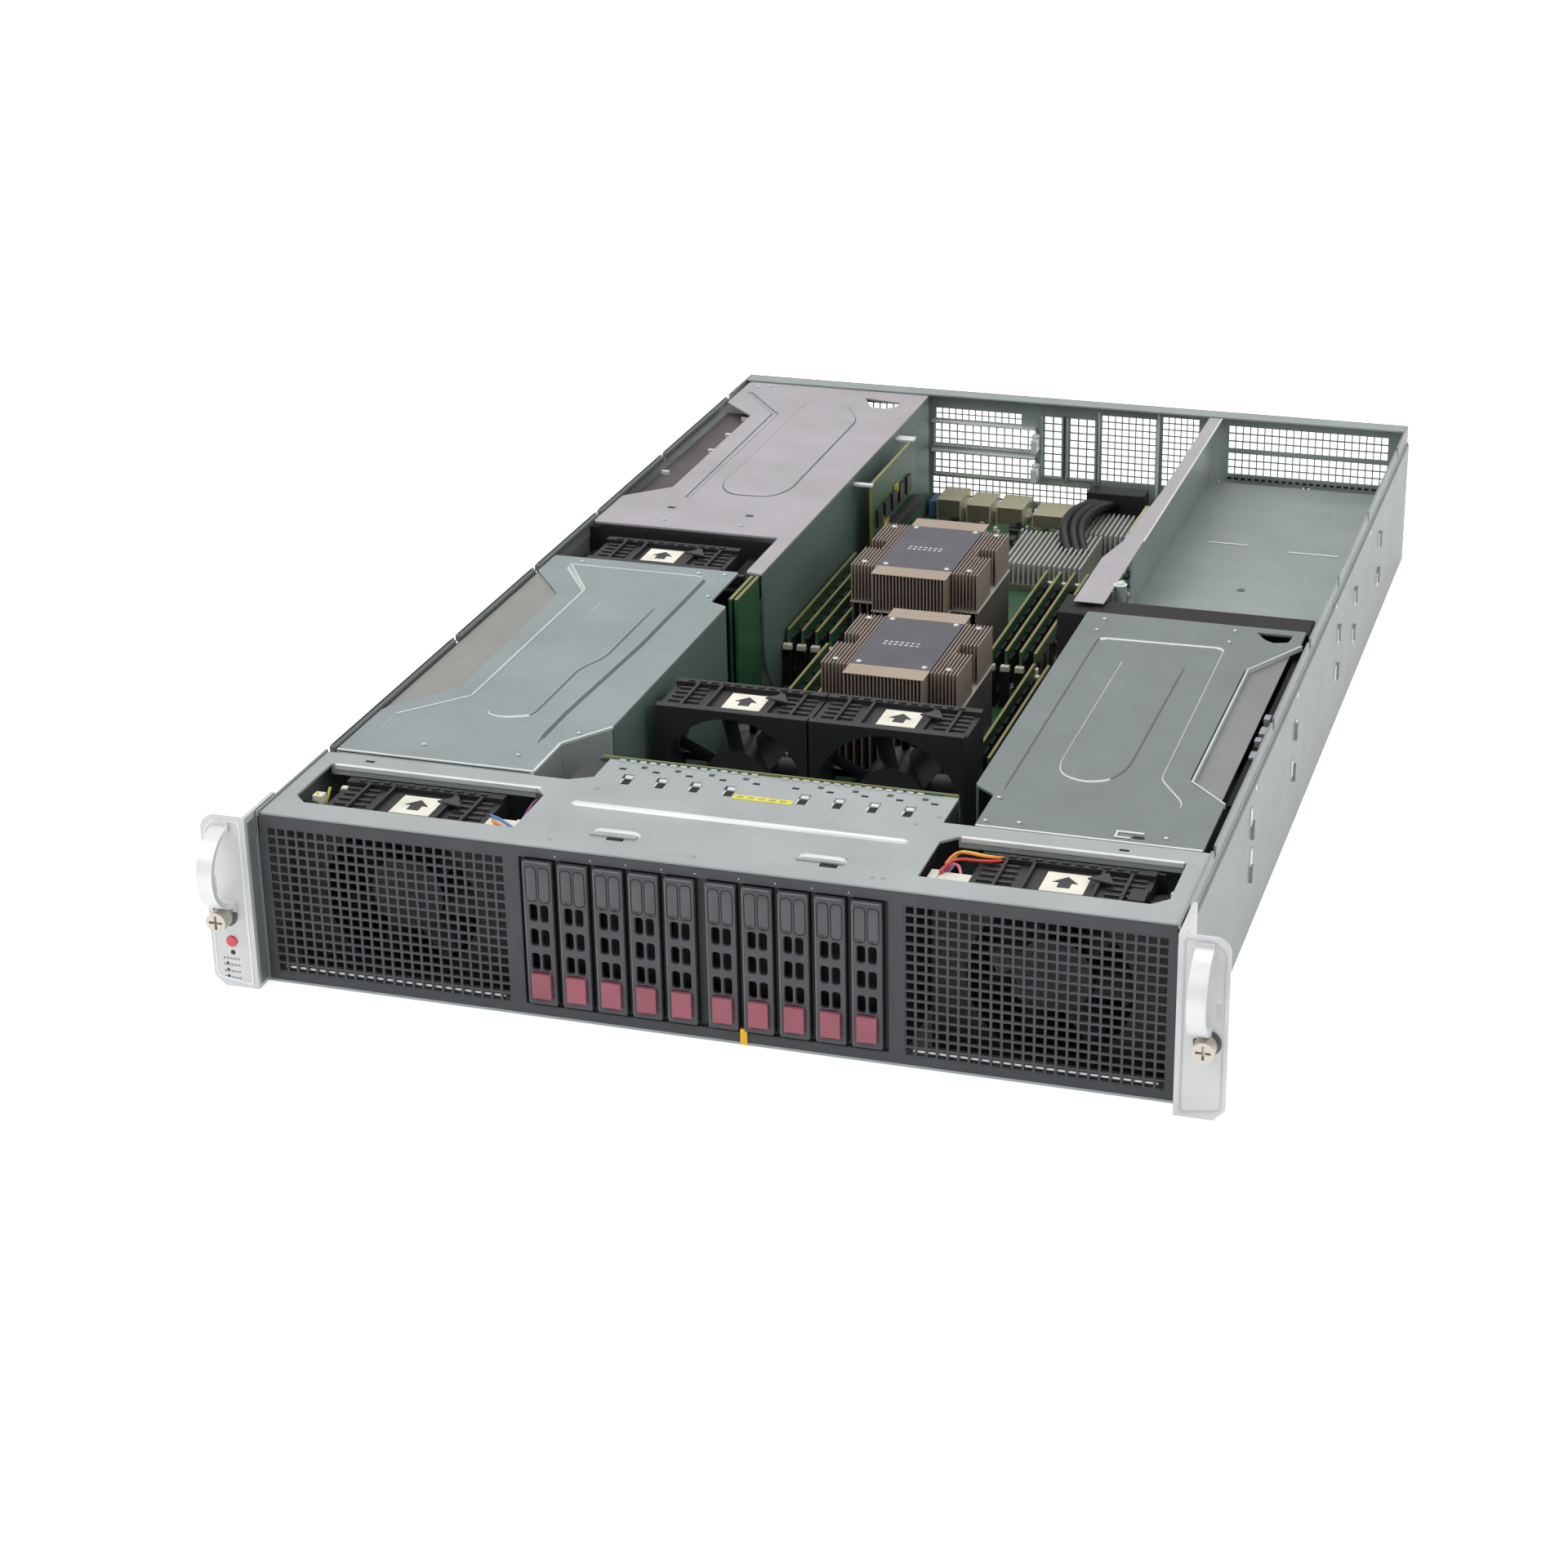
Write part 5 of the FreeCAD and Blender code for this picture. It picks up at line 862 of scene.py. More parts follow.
def buildCarrier(number, look):
    name = "drive_carrier_%d" % number
    left = carrierLeft(number)
    right = left + look["width"]
    base, top = look["floor"], look["floor"] + look["height"]
    holes = []
    for low, high in look["ventRows"]:
        holes += [slotShape(left + a, low, left + b, high) for a, b in look["ventColumns"]]
    a, low, b, high = look["well"]                               # the release button's own opening
    holes.append(slotShape(left + a, low, left + b, high))
    front = {"outline": slotShape(left, base, right, top), "holes": holes, "corner": 0.8, "holeCorner": 1.7,
             "face": look["face"], "gauge": 2.4, "bevel": 0.25}
    bezel = pressedPlate(name + "_bezel", front, "carrierPlastic", name, upright=True)
    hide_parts(name)
    # the carrier's walls in near-black, so the gaps between carriers read dark: painted shade
    walls = [((left, 0.3, base), (right, 94, base + 4)), ((left, 0.3, top - 4), (right, 94, top)),
             ((left, 0.3, base + 4), (left + 1.2, 94, top - 4)),
             ((right - 1.2, 0.3, base + 4), (right, 9.8, top - 4)),
             ((left + 1.2, 6.2, base + 4), (right - 1.2, 7.2, top - 4))]
    tray = boxPiece(name + "_tray", walls, "shadeAndJointBlack", name, 0)
    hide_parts(name)
    face = look["face"]
    low, high = look["padRows"]
    for count, (a, b) in enumerate(look["pads"]):
        pad = {"outline": slotShape(left + a, low, left + b, high), "corner": 2.2, "face": face - 0.15,
               "gauge": 0.9, "bevel": 0.2}
        pressedPlate("%s_pad_%d" % (name, count), pad, "padPlastic", name, upright=True)
        seat = {"outline": slotShape(left + a - 0.45, low - 0.5, left + b + 0.45, high + 0.5), "corner": 2.6,
                "face": face - 0.06, "gauge": 0.2}
        pressedPlate("%s_seat_%d" % (name, count), seat, "shadeAndJointBlack", name, upright=True)
    # light strips on the bezel's left and top edges: painted highlight
    rims = (((left + 0.1, face - 0.12, base + 1), (left + 0.7, face + 0.2, top - 1)),
            ((left + 1, face - 0.12, top - 0.8), (right - 1, face + 0.2, top - 0.1)))
    boxPiece(name + "_rims", rims, "rimHighlightGrey", name, 0.1)


def buildBays():
    for number in range(1, 11):
        buildCarrier(number, carrier)
    bm = bmesh.new()                                          # a fold's edge seen low behind the grilles, in near-white zinc: painted highlight
    for start in (-209.5, 98.0):
        addBox(bm, at(start, 1.7, 7.2), at(start + 111.5, 2.2, 8.2))
    pieceFrom(bm, "grille_fold", "brightZincAndHighlight", "chassis", 0)
    bm = bmesh.new()                                             # dark boxes between the carriers: painted shade in the gaps
    edges = [-87.0]
    for number in range(1, 11):
        edges += [carrierLeft(number) - 0.25, carrierLeft(number) + 14.25]
    edges.append(87.0)
    for start, end in zip(edges[::2], edges[1::2]):
        addBox(bm, at(start, 7.0, 6.4), at(end, 8.4, 81.2))
    pieceFrom(bm, "bay_gap_shade", "shadeAndJointBlack", "chassis", 0)
    dots = [(carrierLeft(number) + 15.5 - (1.2 if number == 5 else 0), -0.1, 83.4)
            for number in range(1, 10)]
    studsAt("bay_dots", dots, 0.35, "satinSilver", flatten=(1, 0.4, 1))
    boxPiece("bay_tab", (((17.4, -1.6, 0.8), (20.6, -0.1, 8.6)),), "tabYellow", bevel=0.2)
    print("drive bays")


ears = {"face": -10.0, "rivets": ((220.5, 6, 73), (220.5, 6, 8.6)), "lamps": (12.0, 8.6, 5.2),
        "markRows": (14.6, 11.2, 7.8, 4.6), "markSteps": (0, 1.8, 3.6, 5.4, 7.2),
        "outer": ((-239.6, 4.5), (-221.0, 1.5), (-221.0, 86.5), (-234.5, 86.5), (-239.6, 81)),
        "inner": ((-238.9, 5.3), (-221.9, 2.6), (-221.9, 85.7), (-234.3, 85.7), (-238.9, 80.7))}


def buildEars(look):
    face = look["face"]
    for side in (-1, 1):
        label = "left" if side < 0 else "right"
        rim = {"outline": [(-side * x, z) for x, z in look["outer"]][::-side],
               "holes": ([(-side * x, z) for x, z in look["inner"]],),
               "corner": 2.0, "holeCorner": 2.0, "face": face - 0.3, "gauge": 0.4}
        # the left rim in near-white as painted highlight, the right one in a darker grey as painted shade
        pressedPlate("ear_rim_" + label, rim, "markGrey" if side > 0 else "brightZincAndHighlight", upright=True)
        rivets = [(side * x, y, z) for x, y, z in look["rivets"]]
        studsAt("ear_rivets_" + label, rivets, 2.2, "brightZincAndHighlight", flatten=(0.3, 1, 1))
        ridges = [((side * 220.3 - 0.25, y, 2), (side * 220.3 + 0.25, y + 0.8, 84)) for y in (-6.5, 1.5)]
        boxPiece("ear_ridges_" + label, ridges, "darkZincAndShade", bevel=0.1)
        if side < 0:
            # a darker strip on the left ear fold's right-facing side: painted shade
            boxPiece("ear_fold_shade", (((-218.5, -7.6, 2), (-218.1, -0.6, 85)),), "shadedZinc", bevel=0.1)
        bm = bmesh.new()                                         # turned foot plates of the handle
        for z in (83.9, 42.9):
            addBox(bm, at(side * 230.5 - 4, face - 1.2, z - 3.2), at(side * 230.5 + 4, face - 0.05, z + 1.8))
        pieceFrom(bm, "handle_feet_" + label, "satinSilver", "chassis", 0.35)
        bm = bmesh.new()                                         # shaded seat of the thumbscrew
        addRod(bm, at(side * 232.55, face - 0.25, 37.7), at(side * 232.55, face + 0.1, 37.7), 6.3 * mm, 36)
        pieceFrom(bm, "screw_washer_" + label, "darkZincAndShade", "chassis", 0.1)
        # a flat grey patch, a little darker than the ear: painted shade of the finger recess
        recess = ((side * 237.0 - 1.2, face - 0.12, 48), (side * 237.0 + 1.2, face, 57))
        boxPiece("finger_recess_" + label, (recess,), "markGrey", bevel=0)
    bm = bmesh.new()
    for row in look["lamps"]:                                   # plain lamp windows and generic marks
        addRod(bm, at(-233.8, face - 0.12, row), at(-233.8, face + 0.1, row), 0.7 * mm, 16)
    pieceFrom(bm, "ear_lamps", "chipBlack", "chassis", 0)
    marks = [(-235.2 + step, face - 0.05, row) for row in look["markRows"] for step in look["markSteps"]]
    boxesAt("ear_marks", marks, (1.2, 0.12, 1.0), "markShade")
    print("ears")


fans = {
    "places": {"front_left": (-156.0, 19.0), "front_right": (156.0, 19.0), "rear_left": (-159.0, 373.0),
               "middle_left": (-47.2, 180.0), "middle_right": (33.8, 180.0)},
    "top": 81.2, "depth": 38.0, "louvres": (5, 5.6), "slots": (11, 6.2),      # count and pitch
    "arrow": ((-2.9, -5.6), (2.9, -5.6), (2.9, -0.6), (6.0, -0.6), (0, 5.8), (-6.0, -0.6), (-2.9, -0.6)),
}


def buildFanTop(name, across, along, look):
    top = look["top"]
    middle = along + look["depth"] / 2
    shift = 2 if name.startswith(("front", "middle")) else -1
    bm = bmesh.new()
    count, pitch = look["louvres"]
    for start in (-37, 21):                                       # louvres beside the label
        for row in range(count):
            addBox(bm, at(across + start, along + 6.2 + pitch * row, top - 0.1),
                   at(across + start + 16, along + 8.0 + pitch * row, top + 0.9))
    count, pitch = look["slots"]
    for row in range(count):                                      # slots along the back rail
        addBox(bm, at(across - 34 + pitch * row, along + 34.4, top + 2.1),
               at(across - 30.6 + pitch * row, along + 36.2, top + 2.9))
    pieceFrom(bm, "fan_louvres_" + name, "louvreGrey", "chassis", 0.15)
    bm = bmesh.new()                                              # the finger tab, a thin ramp
    outline = ((11.5, 4.0), (24.5, 0.5), (19.5, 11.5))
    addPrism(bm, [at(across + x, middle + y - 1, top + 2.0) for x, y in outline], Vector((0, 0, 1.1 * mm)))
    pieceFrom(bm, "fan_tab_" + name, "louvreGrey", "chassis", 0.2)
    label = ((across + shift - 10, middle - 9.5, top + 0.05), (across + shift + 10, middle + 10, top + 0.5))
    boxPiece("fan_label_" + name, (label,), "labelCream", bevel=0.05)
    bm = bmesh.new()
    arrow = [at(across + shift + x, middle + y + 0.6, top + 0.5) for x, y in look["arrow"]]
    addPrism(bm, arrow, Vector((0, 0, 0.12 * mm)))
    pieceFrom(bm, "fan_arrow_" + name, "chipBlack", "chassis", 0)


def buildFans(look):
    for name, (across, along) in look["places"].items():
        buildFanTop(name, across, along, look)
    bm = bmesh.new()                                            # plugs and loops beside the outer ends
    for place, radius, height in (((-204, 28), 4.4, 15), ((-206, 44), 3.0, 10), ((201, 47), 5.5, 9)):
        addRod(bm, at(*place, 66), at(*place, 66 + height), radius * mm, 20)
    for lowCorner, highCorner in (((188, 27, 70), (196, 39, 83)), ((197.5, 22, 68), (204, 34, 80)),
                                  ((-200, 50, 70), (-192, 57, 79)), ((170, 56.5, 68), (200, 58.4, 82.5))):
        addBox(bm, at(*lowCorner), at(*highCorner))
    pieceFrom(bm, "bay_blocks", "blackPlastic", "chassis", 0.5)
    plugs = (((-205, 33, 78), (-200, 38, 83.2)), ((-207.5, 24, 76), (-203, 29, 80)),
             ((-197, 47, 79), (-194, 50, 82)), ((205, 40, 80), (212, 43, 81.4)))
    boxPiece("bay_plugs", plugs, "creamPlastic")
    bm = bmesh.new()
    for x, y, tall in ((-205, 31, 84), (-201, 36, 85), (-209, 27, 80), (-211, 25, 78)):
        addRod(bm, at(x, y, 74), at(x + 2.2, y + 4, tall), 0.7 * mm, 8)
    pieceFrom(bm, "bay_wires", "labelYellow", "chassis", 0)
    print("fans")


leads = {
    "route": ((101.5, 36.0, 78.0), (101.5, 47.0, 78.0), (101.5, 59.0, 75.0), (101.5, 69.0, 65.0),
              (101.5, 73.5, 50.0), (101.5, 75.3, 36.0), (101.5, 76.0, 22.0), (101.5, 76.0, 10.0)),
    "width": 4.8, "length": 0.0927, "wires": ("wireRed", "wirePurple", "wireRed", "wireBlue"),
    "plugs": (((99.0, 24, 74.7), (116, 36, 81.3)), ((98.2, 70, 1.2), (104.8, 82, 10)),
              ((97.4, 26, 80.6), (101.6, 35, 82.6))),
}


def centreLine(points):                # points read from the route's own smooth curve
    data = bpy.data.curves.new("route", "CURVE")
    data.dimensions = "3D"
    data.resolution_u = 12
    spline = data.splines.new("NURBS")
    spline.points.add(len(points) - 1)
    for spot, point in zip(spline.points, points):
        spot.co = (*point, 1)
    spline.order_u = 3
    spline.use_endpoint_u = True
    holder = bpy.data.objects.new("route", data)
    bpy.context.collection.objects.link(holder)
    mesh = bpy.data.meshes.new_from_object(holder.evaluated_get(bpy.context.evaluated_depsgraph_get()))
    line = [vertex.co.copy() for vertex in mesh.vertices]
    bpy.data.objects.remove(holder)
    bpy.data.meshes.remove(mesh)
    return line


def tube(bm, line, radius, sides=10):
    rings = []
    for index, point in enumerate(line):
        ahead = line[min(index + 1, len(line) - 1)] - line[max(index - 1, 0)]
        side = ahead.cross(Vector((0.3, 0.1, 1))).normalized()
        up = side.cross(ahead).normalized()
        turns = [2 * math.pi * step / sides for step in range(sides)]
        rings.append([bm.verts.new(point + radius * (math.cos(turn) * side + math.sin(turn) * up))
                      for turn in turns])
    for first, second in zip(rings, rings[1:]):
        for step in range(sides):
            bm.faces.new((first[step], first[(step + 1) % sides], second[(step + 1) % sides], second[step]))
    bm.faces.new(rings[0])
    bm.faces.new(rings[-1])
    bmesh.ops.recalc_face_normals(bm, faces=bm.faces[:])
    for face in bm.faces:
        face.smooth = True


def mirrored(boxes, side):             # the same boxes on the left or the right
    pairs = []
    for (x0, y0, z0), (x1, y1, z1) in boxes:
        near, far = sorted((side * x0, side * x1))
        pairs.append(((near, y0, z0), (far, y1, z1)))
    return pairs


def buildLead(side, look):
    label = "left" if side < 0 else "right"
    mesh = bpy.data.meshes.new("lead_" + label)
    line = centreLine([at(side * x, y, z) for x, y, z in look["route"]])
    bm = bmesh.new()
    count = len(look["wires"])
    step = look["width"] / count
    for number in range(count):                                   # four wires lying side by side
        offset = Vector(((number - (count - 1) / 2) * step * mm, 0, 0))
        before = len(bm.faces)
        tube(bm, [point + offset for point in line], 0.49 * step * mm)
        bm.faces.ensure_lookup_table()
        for face in bm.faces[before:]:
            face.material_index = number
    bm.to_mesh(mesh)
    bm.free()
    for finish in look["wires"]:
        mesh.materials.append(finishes[finish])
    lead = bpy.data.objects.new("lead_" + label, mesh)
    bpy.context.collection.objects.link(lead)
    settle(lead, "chassis")
    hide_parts("fan_leads")
    blocks = mirrored(look["plugs"], side)
    plugs = boxPiece("lead_plugs_" + label, blocks, "creamPlastic", bevel=0.4)
    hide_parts("fan_leads")


wirePaths = {
    "left_inner": ("wireOrange", (
        (-99, 25, 81), (-103, 24, 82.6), (-108, 27, 82.8), (-113, 32, 81.2), (-117, 37, 79.5))),
    "left_blue": ("wireBlue", (
        (-100, 26, 82), (-104, 27, 83.6), (-109, 31, 83.6), (-115, 36, 82), (-118, 41, 80))),
    "left_red": ("wireRed", (
        (-98.4, 34, 81.6), (-97.2, 41, 84), (-97.6, 49, 84.6), (-98.2, 57, 83), (-98.6, 64, 79))),
    "left_purple": ("wirePurple", (
        (-99.6, 34, 81.6), (-98.8, 42, 84.8), (-99.4, 50, 85), (-99.6, 58, 83), (-99.4, 65, 79))),
    "right_red": ("wireRed", (
        (102, 33, 82), (104, 38, 84.8), (108, 43, 85.2), (116, 44, 84.6), (124, 48, 83.4), (128, 56, 81))),
    "right_orange": ("wireOrange", (
        (102, 42, 82), (104, 49, 85), (110, 50, 85.2), (118, 49, 84.6), (125, 52, 83.6), (129, 58, 81))),
    "right_yellow": ("labelYellow", (
        (103, 44, 81), (105, 51.5, 84.6), (111, 52, 84.4), (118, 51, 84), (124, 53, 83), (128, 58, 80))),
    "right_pink": ("wirePink", (
        (101, 32, 81.6), (103, 38, 84), (108, 41, 83.4), (110, 38, 81.4), (112, 33, 79))),
}


def buildWires():
    for name, (finish, route) in wirePaths.items():
        bm = bmesh.new()
        tube(bm, centreLine([at(*point) for point in route]), 0.75 * mm, 8)
        pieceFrom(bm, "wire_" + name, finish, "chassis", 0)
    print("leads and wires")


coolers = {"front": (5.5, 320.0), "rear": (-22.5, 467.5), "width": 44.0, "length": 98.0, "wing": 16.0,
           "wingLength": 74.0, "base": 8.1, "split": 50.0, "top": 72.6, "plate": 70.0}


def buildCooler(name, across, along, look):
    half, wing = look["width"] / 2, look["wing"]
    reach, wingReach = look["length"] / 2, look["wingLength"] / 2
    left = across - half - wing
    wide = 2 * (half + wing)
    right = left + wide - wing                                    # where the right wing starts
    front, back = along - wingReach, along + wingReach
    base, split, top = look["base"], look["split"], look["top"]
    blocks = (((left, front, base), (left + wide, back, base + 6)),
              ((left, front, split - 0.5), (left + wide, back, split + 0.5)),
              ((left + wing, along - reach, split - 0.5), (right, along + reach, split + 0.5)))
    body = boxPiece("cooler_base_" + name, blocks, "finLight", bevel=0.2)
    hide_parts("heatsinks")
    thinFins = (("main", left + wing, 22, along - reach, along + reach),
                ("wing_left_front", left, 8, front, along - 6),
                ("wing_left_rear", left, 8, along + 6, back),
                ("wing_left_inner", left + 10, 3, along - 6, along + 6),
                ("wing_right_front", right, 8, front, along - 6),
                ("wing_right_rear", right, 8, along + 6, back),
                ("wing_right_inner", right, 3, along - 6, along + 6))
    for part, start, count, near, far in thinFins:
        fins = finsAt("cooler_%s_%s" % (name, part), (start + 0.6, near, split), count, 2.0,
                      (0.55, far - near, top - split), "finMetal")
        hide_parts("heatsinks")
    thickFins = (("main", left + wing, 10, reach),
                 ("left", left, 4, wingReach),
                 ("right", right, 4, wingReach))
    for part, start, count, span in thickFins:
        fins = finsAt("cooler_%s_low_%s" % (name, part), (start + 1, along - span, base + 5), count, 4.4,
                      (0.9, 2 * span, split - base - 5), "finDark")
        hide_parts("heatsinks")
    plate = look["plate"] / 2
    sheet = ((across - half, along - plate, top - 0.1), (across + half, along + plate, top + 0.5))
    boxPiece("cooler_plate_" + name, (sheet,), "slatePlate", bevel=0.1)
    caps = (((across - half, along - reach, top - 0.1), (across + half, along - plate, top + 0.35)),
            ((across - half, along + plate, top - 0.1), (across + half, along + reach, top + 0.35)))
    boxPiece("cooler_caps_" + name, caps, "finTan", bevel=0.1)
    corners = [(sideways, endways) for sideways in (-1, 1) for endways in (-1, 1)]
    spots = [(across + sx * (half + 9), along + sy * (wingReach - 6), top + 0.3) for sx, sy in corners]
    spots += [(across + sx * (half - 4), along + sy * (plate - 3), top + 0.5) for sx, sy in corners]
    studsAt("cooler_screws_" + name, spots, 1.7, "bendHighlightZinc")
    marks = [(across - 12 + 3 * step, along - 4 + row, top + 0.55) for step in range(7) for row in (0, 3.6)]
    boxesAt("cooler_marks_" + name, marks, (1.7, 1.5, 0.08), "markGrey")


lowCoolers = {"places": (("west", -10, 582, 52, 62), ("east", 24, 646, 32, 42)),
              "base": (8.1, 12), "fin": (1.1, 14.0), "pitch": 3.2}      # places: left, near, width, depth


def buildLowCoolers(look):
    low, high = look["base"]
    gauge, tall = look["fin"]
    for name, left, near, wide, deep in look["places"]:
        block = ((left, near, low), (left + wide, near + deep, high))
        base = boxPiece("low_cooler_base_" + name, (block,), "finDark")
        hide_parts("heatsinks")
        fins = finsAt("low_cooler_fins_" + name, (left + 1, near, high - 0.5), int(wide / look["pitch"]),
                      look["pitch"], (gauge, deep, tall), "finLight")
        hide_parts("heatsinks")
    print("coolers")


memory = {"left": 41.0, "right": 53.5, "pitch": 8.3, "length": 133.0, "top": 41.0, "gauge": 1.4,
          "chips": 9, "chipPitch": 14.2, "latch": 68.65, "tip": 68.6, "seat": 8.1}


def moduleRows():
    rows = []
    for across, along in (coolers["front"], coolers["rear"]):
        for number in range(4):
            rows.append((across - memory["left"] - number * memory["pitch"], along))
            rows.append((across + memory["right"] + number * memory["pitch"], along))
    return rows


def buildMemory(look):
    half, top = look["length"] / 2, look["top"]
    rows = moduleRows()
    edges = [(x, y, top - 0.25) for x, y in rows]
    boxesAt("module_edges", edges, (look["gauge"] + 0.1, 2 * half, 0.7), "boardEdge")
    chips = []
    for x, y in rows:
        chips += [(x, y - half + 9.5 + look["chipPitch"] * step, top - 13) for step in range(look["chips"])]
    boxesAt("module_chips", chips, (3.6, 10.4, 13.5), "chipBlack")
    # the latches' lower part in black: painted shade below the modules, with the cream tips above
    ends = [(x, y + side * look["latch"], look["seat"] + 8.0) for x, y in rows for side in (-1, 1)]
    boxesAt("socket_latches", ends, (5.4, 3.7, 16.0), "chipBlack")
    tips = [(x, y + side * look["tip"], 28.4) for x, y in rows for side in (-1, 1)]
    boxesAt("socket_latch_tips", tips, (4.8, 3.8, 9.0), "latchCream")
    print("memory")


boardLook = {
    "fields": (  # left, right, front, back, density, smallest and largest part in mm, finish, seed
        (-90, 90, 230, 268, 14000, (1.5, 1.5, 1.2), (4.5, 5.5, 3.5), "chipBlack", 3),
        (-90, 90, 230, 268, 9000, (1.0, 1.0, 0.8), (2.5, 3.0, 2.0), "creamPlastic", 7),
        (-88, -56, 400, 540, 9000, (2, 2, 1.5), (7, 8, 6), "chipBlack", 11),
        (20, 88, 540, 640, 7000, (2, 2, 1.5), (8, 9, 5), "chipBlack", 17),
        (20, 88, 540, 640, 9000, (1, 1, 1), (3, 3, 2.2), "creamPlastic", 19),
        (-80, 14, 652, 696, 9000, (2, 2, 1.5), (7, 8, 7), "chipBlack", 23),
        (-80, 14, 652, 696, 7000, (1, 1, 1), (3, 4, 3), "creamPlastic", 29),
        (-60, 20, 385, 402, 12000, (2, 2, 2), (6, 6, 8), "chipBlack", 31),
        (-78, -14, 545, 640, 5000, (1.5, 1.5, 1), (6, 7, 4), "chipBlack", 37)),
    "cans": (  # x, y, radius, height
        (-50, 236, 5, 12), (-38, 240, 5, 12), (40, 236, 5, 12), (52, 240, 5, 12), (64, 236, 5, 12),
        (-64, 236, 4, 10), (70, 560, 4.5, 14), (78, 572, 4.5, 14), (60, 566, 4.5, 14), (-70, 410, 4.5, 13),
        (-70, 424, 4.5, 13), (-70, 438, 4.5, 13), (40, 402, 4.5, 12), (52, 402, 4.5, 12),
        (-34, 400, 4.5, 12)),
    "chokes": ((-86, 300), (-86, 314), (-86, 328), (-86, 342), (56, 392), (68, 392), (80, 392), (30, 530),
               (42, 530), (54, 530)),
    "sockets": (((58.5, 640.5, 8.2), (83.5, 689.5, 31.8)), ((53, 440, 8.2), (66, 452, 24)),
                ((-88, 556, 8.2), (-84.5, 626, 17)), ((-79.5, 548, 8.2), (-74, 634, 15))),
    "cables": ((25, 3.2), (31, 3.0), (36, 2.6)),             # place and radius of the thick ones at the rear
    "cableRun": ((0, 700, 27), (-1, 692, 30), (-4, 678, 33), (-8, 660, 34), (-9, 642, 33), (-6, 628, 28),
                 (2, 612, 20)),
    "wires": (("chipBlack", 0), ("wireOrange", 2.4), ("chipBlack", 4.8), ("wireOrange", 7.2)),
    "wireRun": ((55, 446, 23), (55, 446, 29), (57, 441, 34), (62, 434, 33), (68, 426, 24), (70, 420, 14)),
}


def buildBoard(look):
    for number, (left, right, near, far, density, least, most, finish, seed) in enumerate(look["fields"]):
        values = {"Width": (right - left) * mm, "Depth": (far - near) * mm, "Density": float(density),
                  "Seed": seed, "Smallest": [side * mm for side in least],
                  "Largest": [side * mm for side in most], "Material": finishes[finish]}
        place = Matrix.Translation(at((left + right) / 2, (near + far) / 2, 8.9))
        grow("board_parts_%d" % number, scatter, values, place, "chassis")
    bm = bmesh.new()
    for x, y, radius, tall in look["cans"]:
        addRod(bm, at(x, y, 8.0), at(x, y, 8.1 + tall), radius * mm, 20)
    pieceFrom(bm, "board_cans", "canMetal", "chassis", 0.4)
    boxesAt("board_chokes", [(x, y, 12) for x, y in look["chokes"]], (9.5, 9.5, 7.8), "finDark")
    boxPiece("power_sockets", look["sockets"], "creamPlastic")
    # near-black patches for the socket holes: painted shade
    holes = [(64 + 6.4 * (step % 4), 645 + 7.8 * (step // 4), 31.9) for step in range(24)]
    boxesAt("power_socket_holes", holes, (4.2, 5.0, 0.5), "shadeAndJointBlack")
    block = ((17, 700, 8.2), (55, 714.5, 34.5))
    boxPiece("tall_connector", (block,), "blackPlastic", bevel=0.5)
    for number, (start, radius) in enumerate(look["cables"]):
        bm = bmesh.new()
        tube(bm, centreLine([at(start + x, y, z) for x, y, z in look["cableRun"]]), radius * mm, 12)
        pieceFrom(bm, "cable_%d" % number, "blackPlastic", "chassis", 0)
    for number, (finish, shift) in enumerate(look["wires"]):
        bm = bmesh.new()
        tube(bm, centreLine([at(x + shift, y, z) for x, y, z in look["wireRun"]]), 1.1 * mm, 8)
        pieceFrom(bm, "power_wire_%d" % number, finish, "chassis", 0)
    print("board parts")


risers = {"boards": ((-82.0, 543.0, 97.0, 82.0), (-96.2, 322.0, 38.0, 87.3), (-93.0, 322.0, 38.0, 87.3)),
          "parts": ((550, 30, 9, 12), (566, 40, 10, 14), (590, 60, 8, 6)), "chips": 6}


def buildRisers(look):
    edges, chips = [], []
    for left, near, deep, top in look["boards"]:
        edges.append(((left - 0.05, near, top - 0.7), (left + 1.65, near + deep, top + 0.05)))
        for step in range(int(deep / 18)):
            front = near + 8 + 16 * step
            chips.append(((left + 1.6, front, top - 30), (left + 3.2, front + 10, top - 19)))
    boxPiece("riser_edges", edges, "boardEdge", bevel=0)
    boxPiece("riser_chips", chips[:look["chips"]], "chipBlack")
    slots = [((-80.2, 548, z), (-74.5, 632, z + 7)) for z in (22, 40)]
    boxPiece("riser_slots", slots, "blackPlastic", bevel=0.4)
    parts = [((-80.4, y, z), (-79.4, y + wide, z + tall)) for y, z, wide, tall in look["parts"]]
    boxPiece("riser_parts", parts, "labelShade", bevel=0.1)
    boxPiece("riser_front", (((-82.1, 542.8, 14), (-80.3, 543.2, 81.4)),), "boardEdge", bevel=0)
    brackets = (((-91.5, 541, 80.6), (-80, 545, 82.2)), ((-91.5, 632, 80.6), (-80, 640, 82.2)))
    boxPiece("riser_brackets", brackets, "brightZincAndHighlight")
    print("risers")


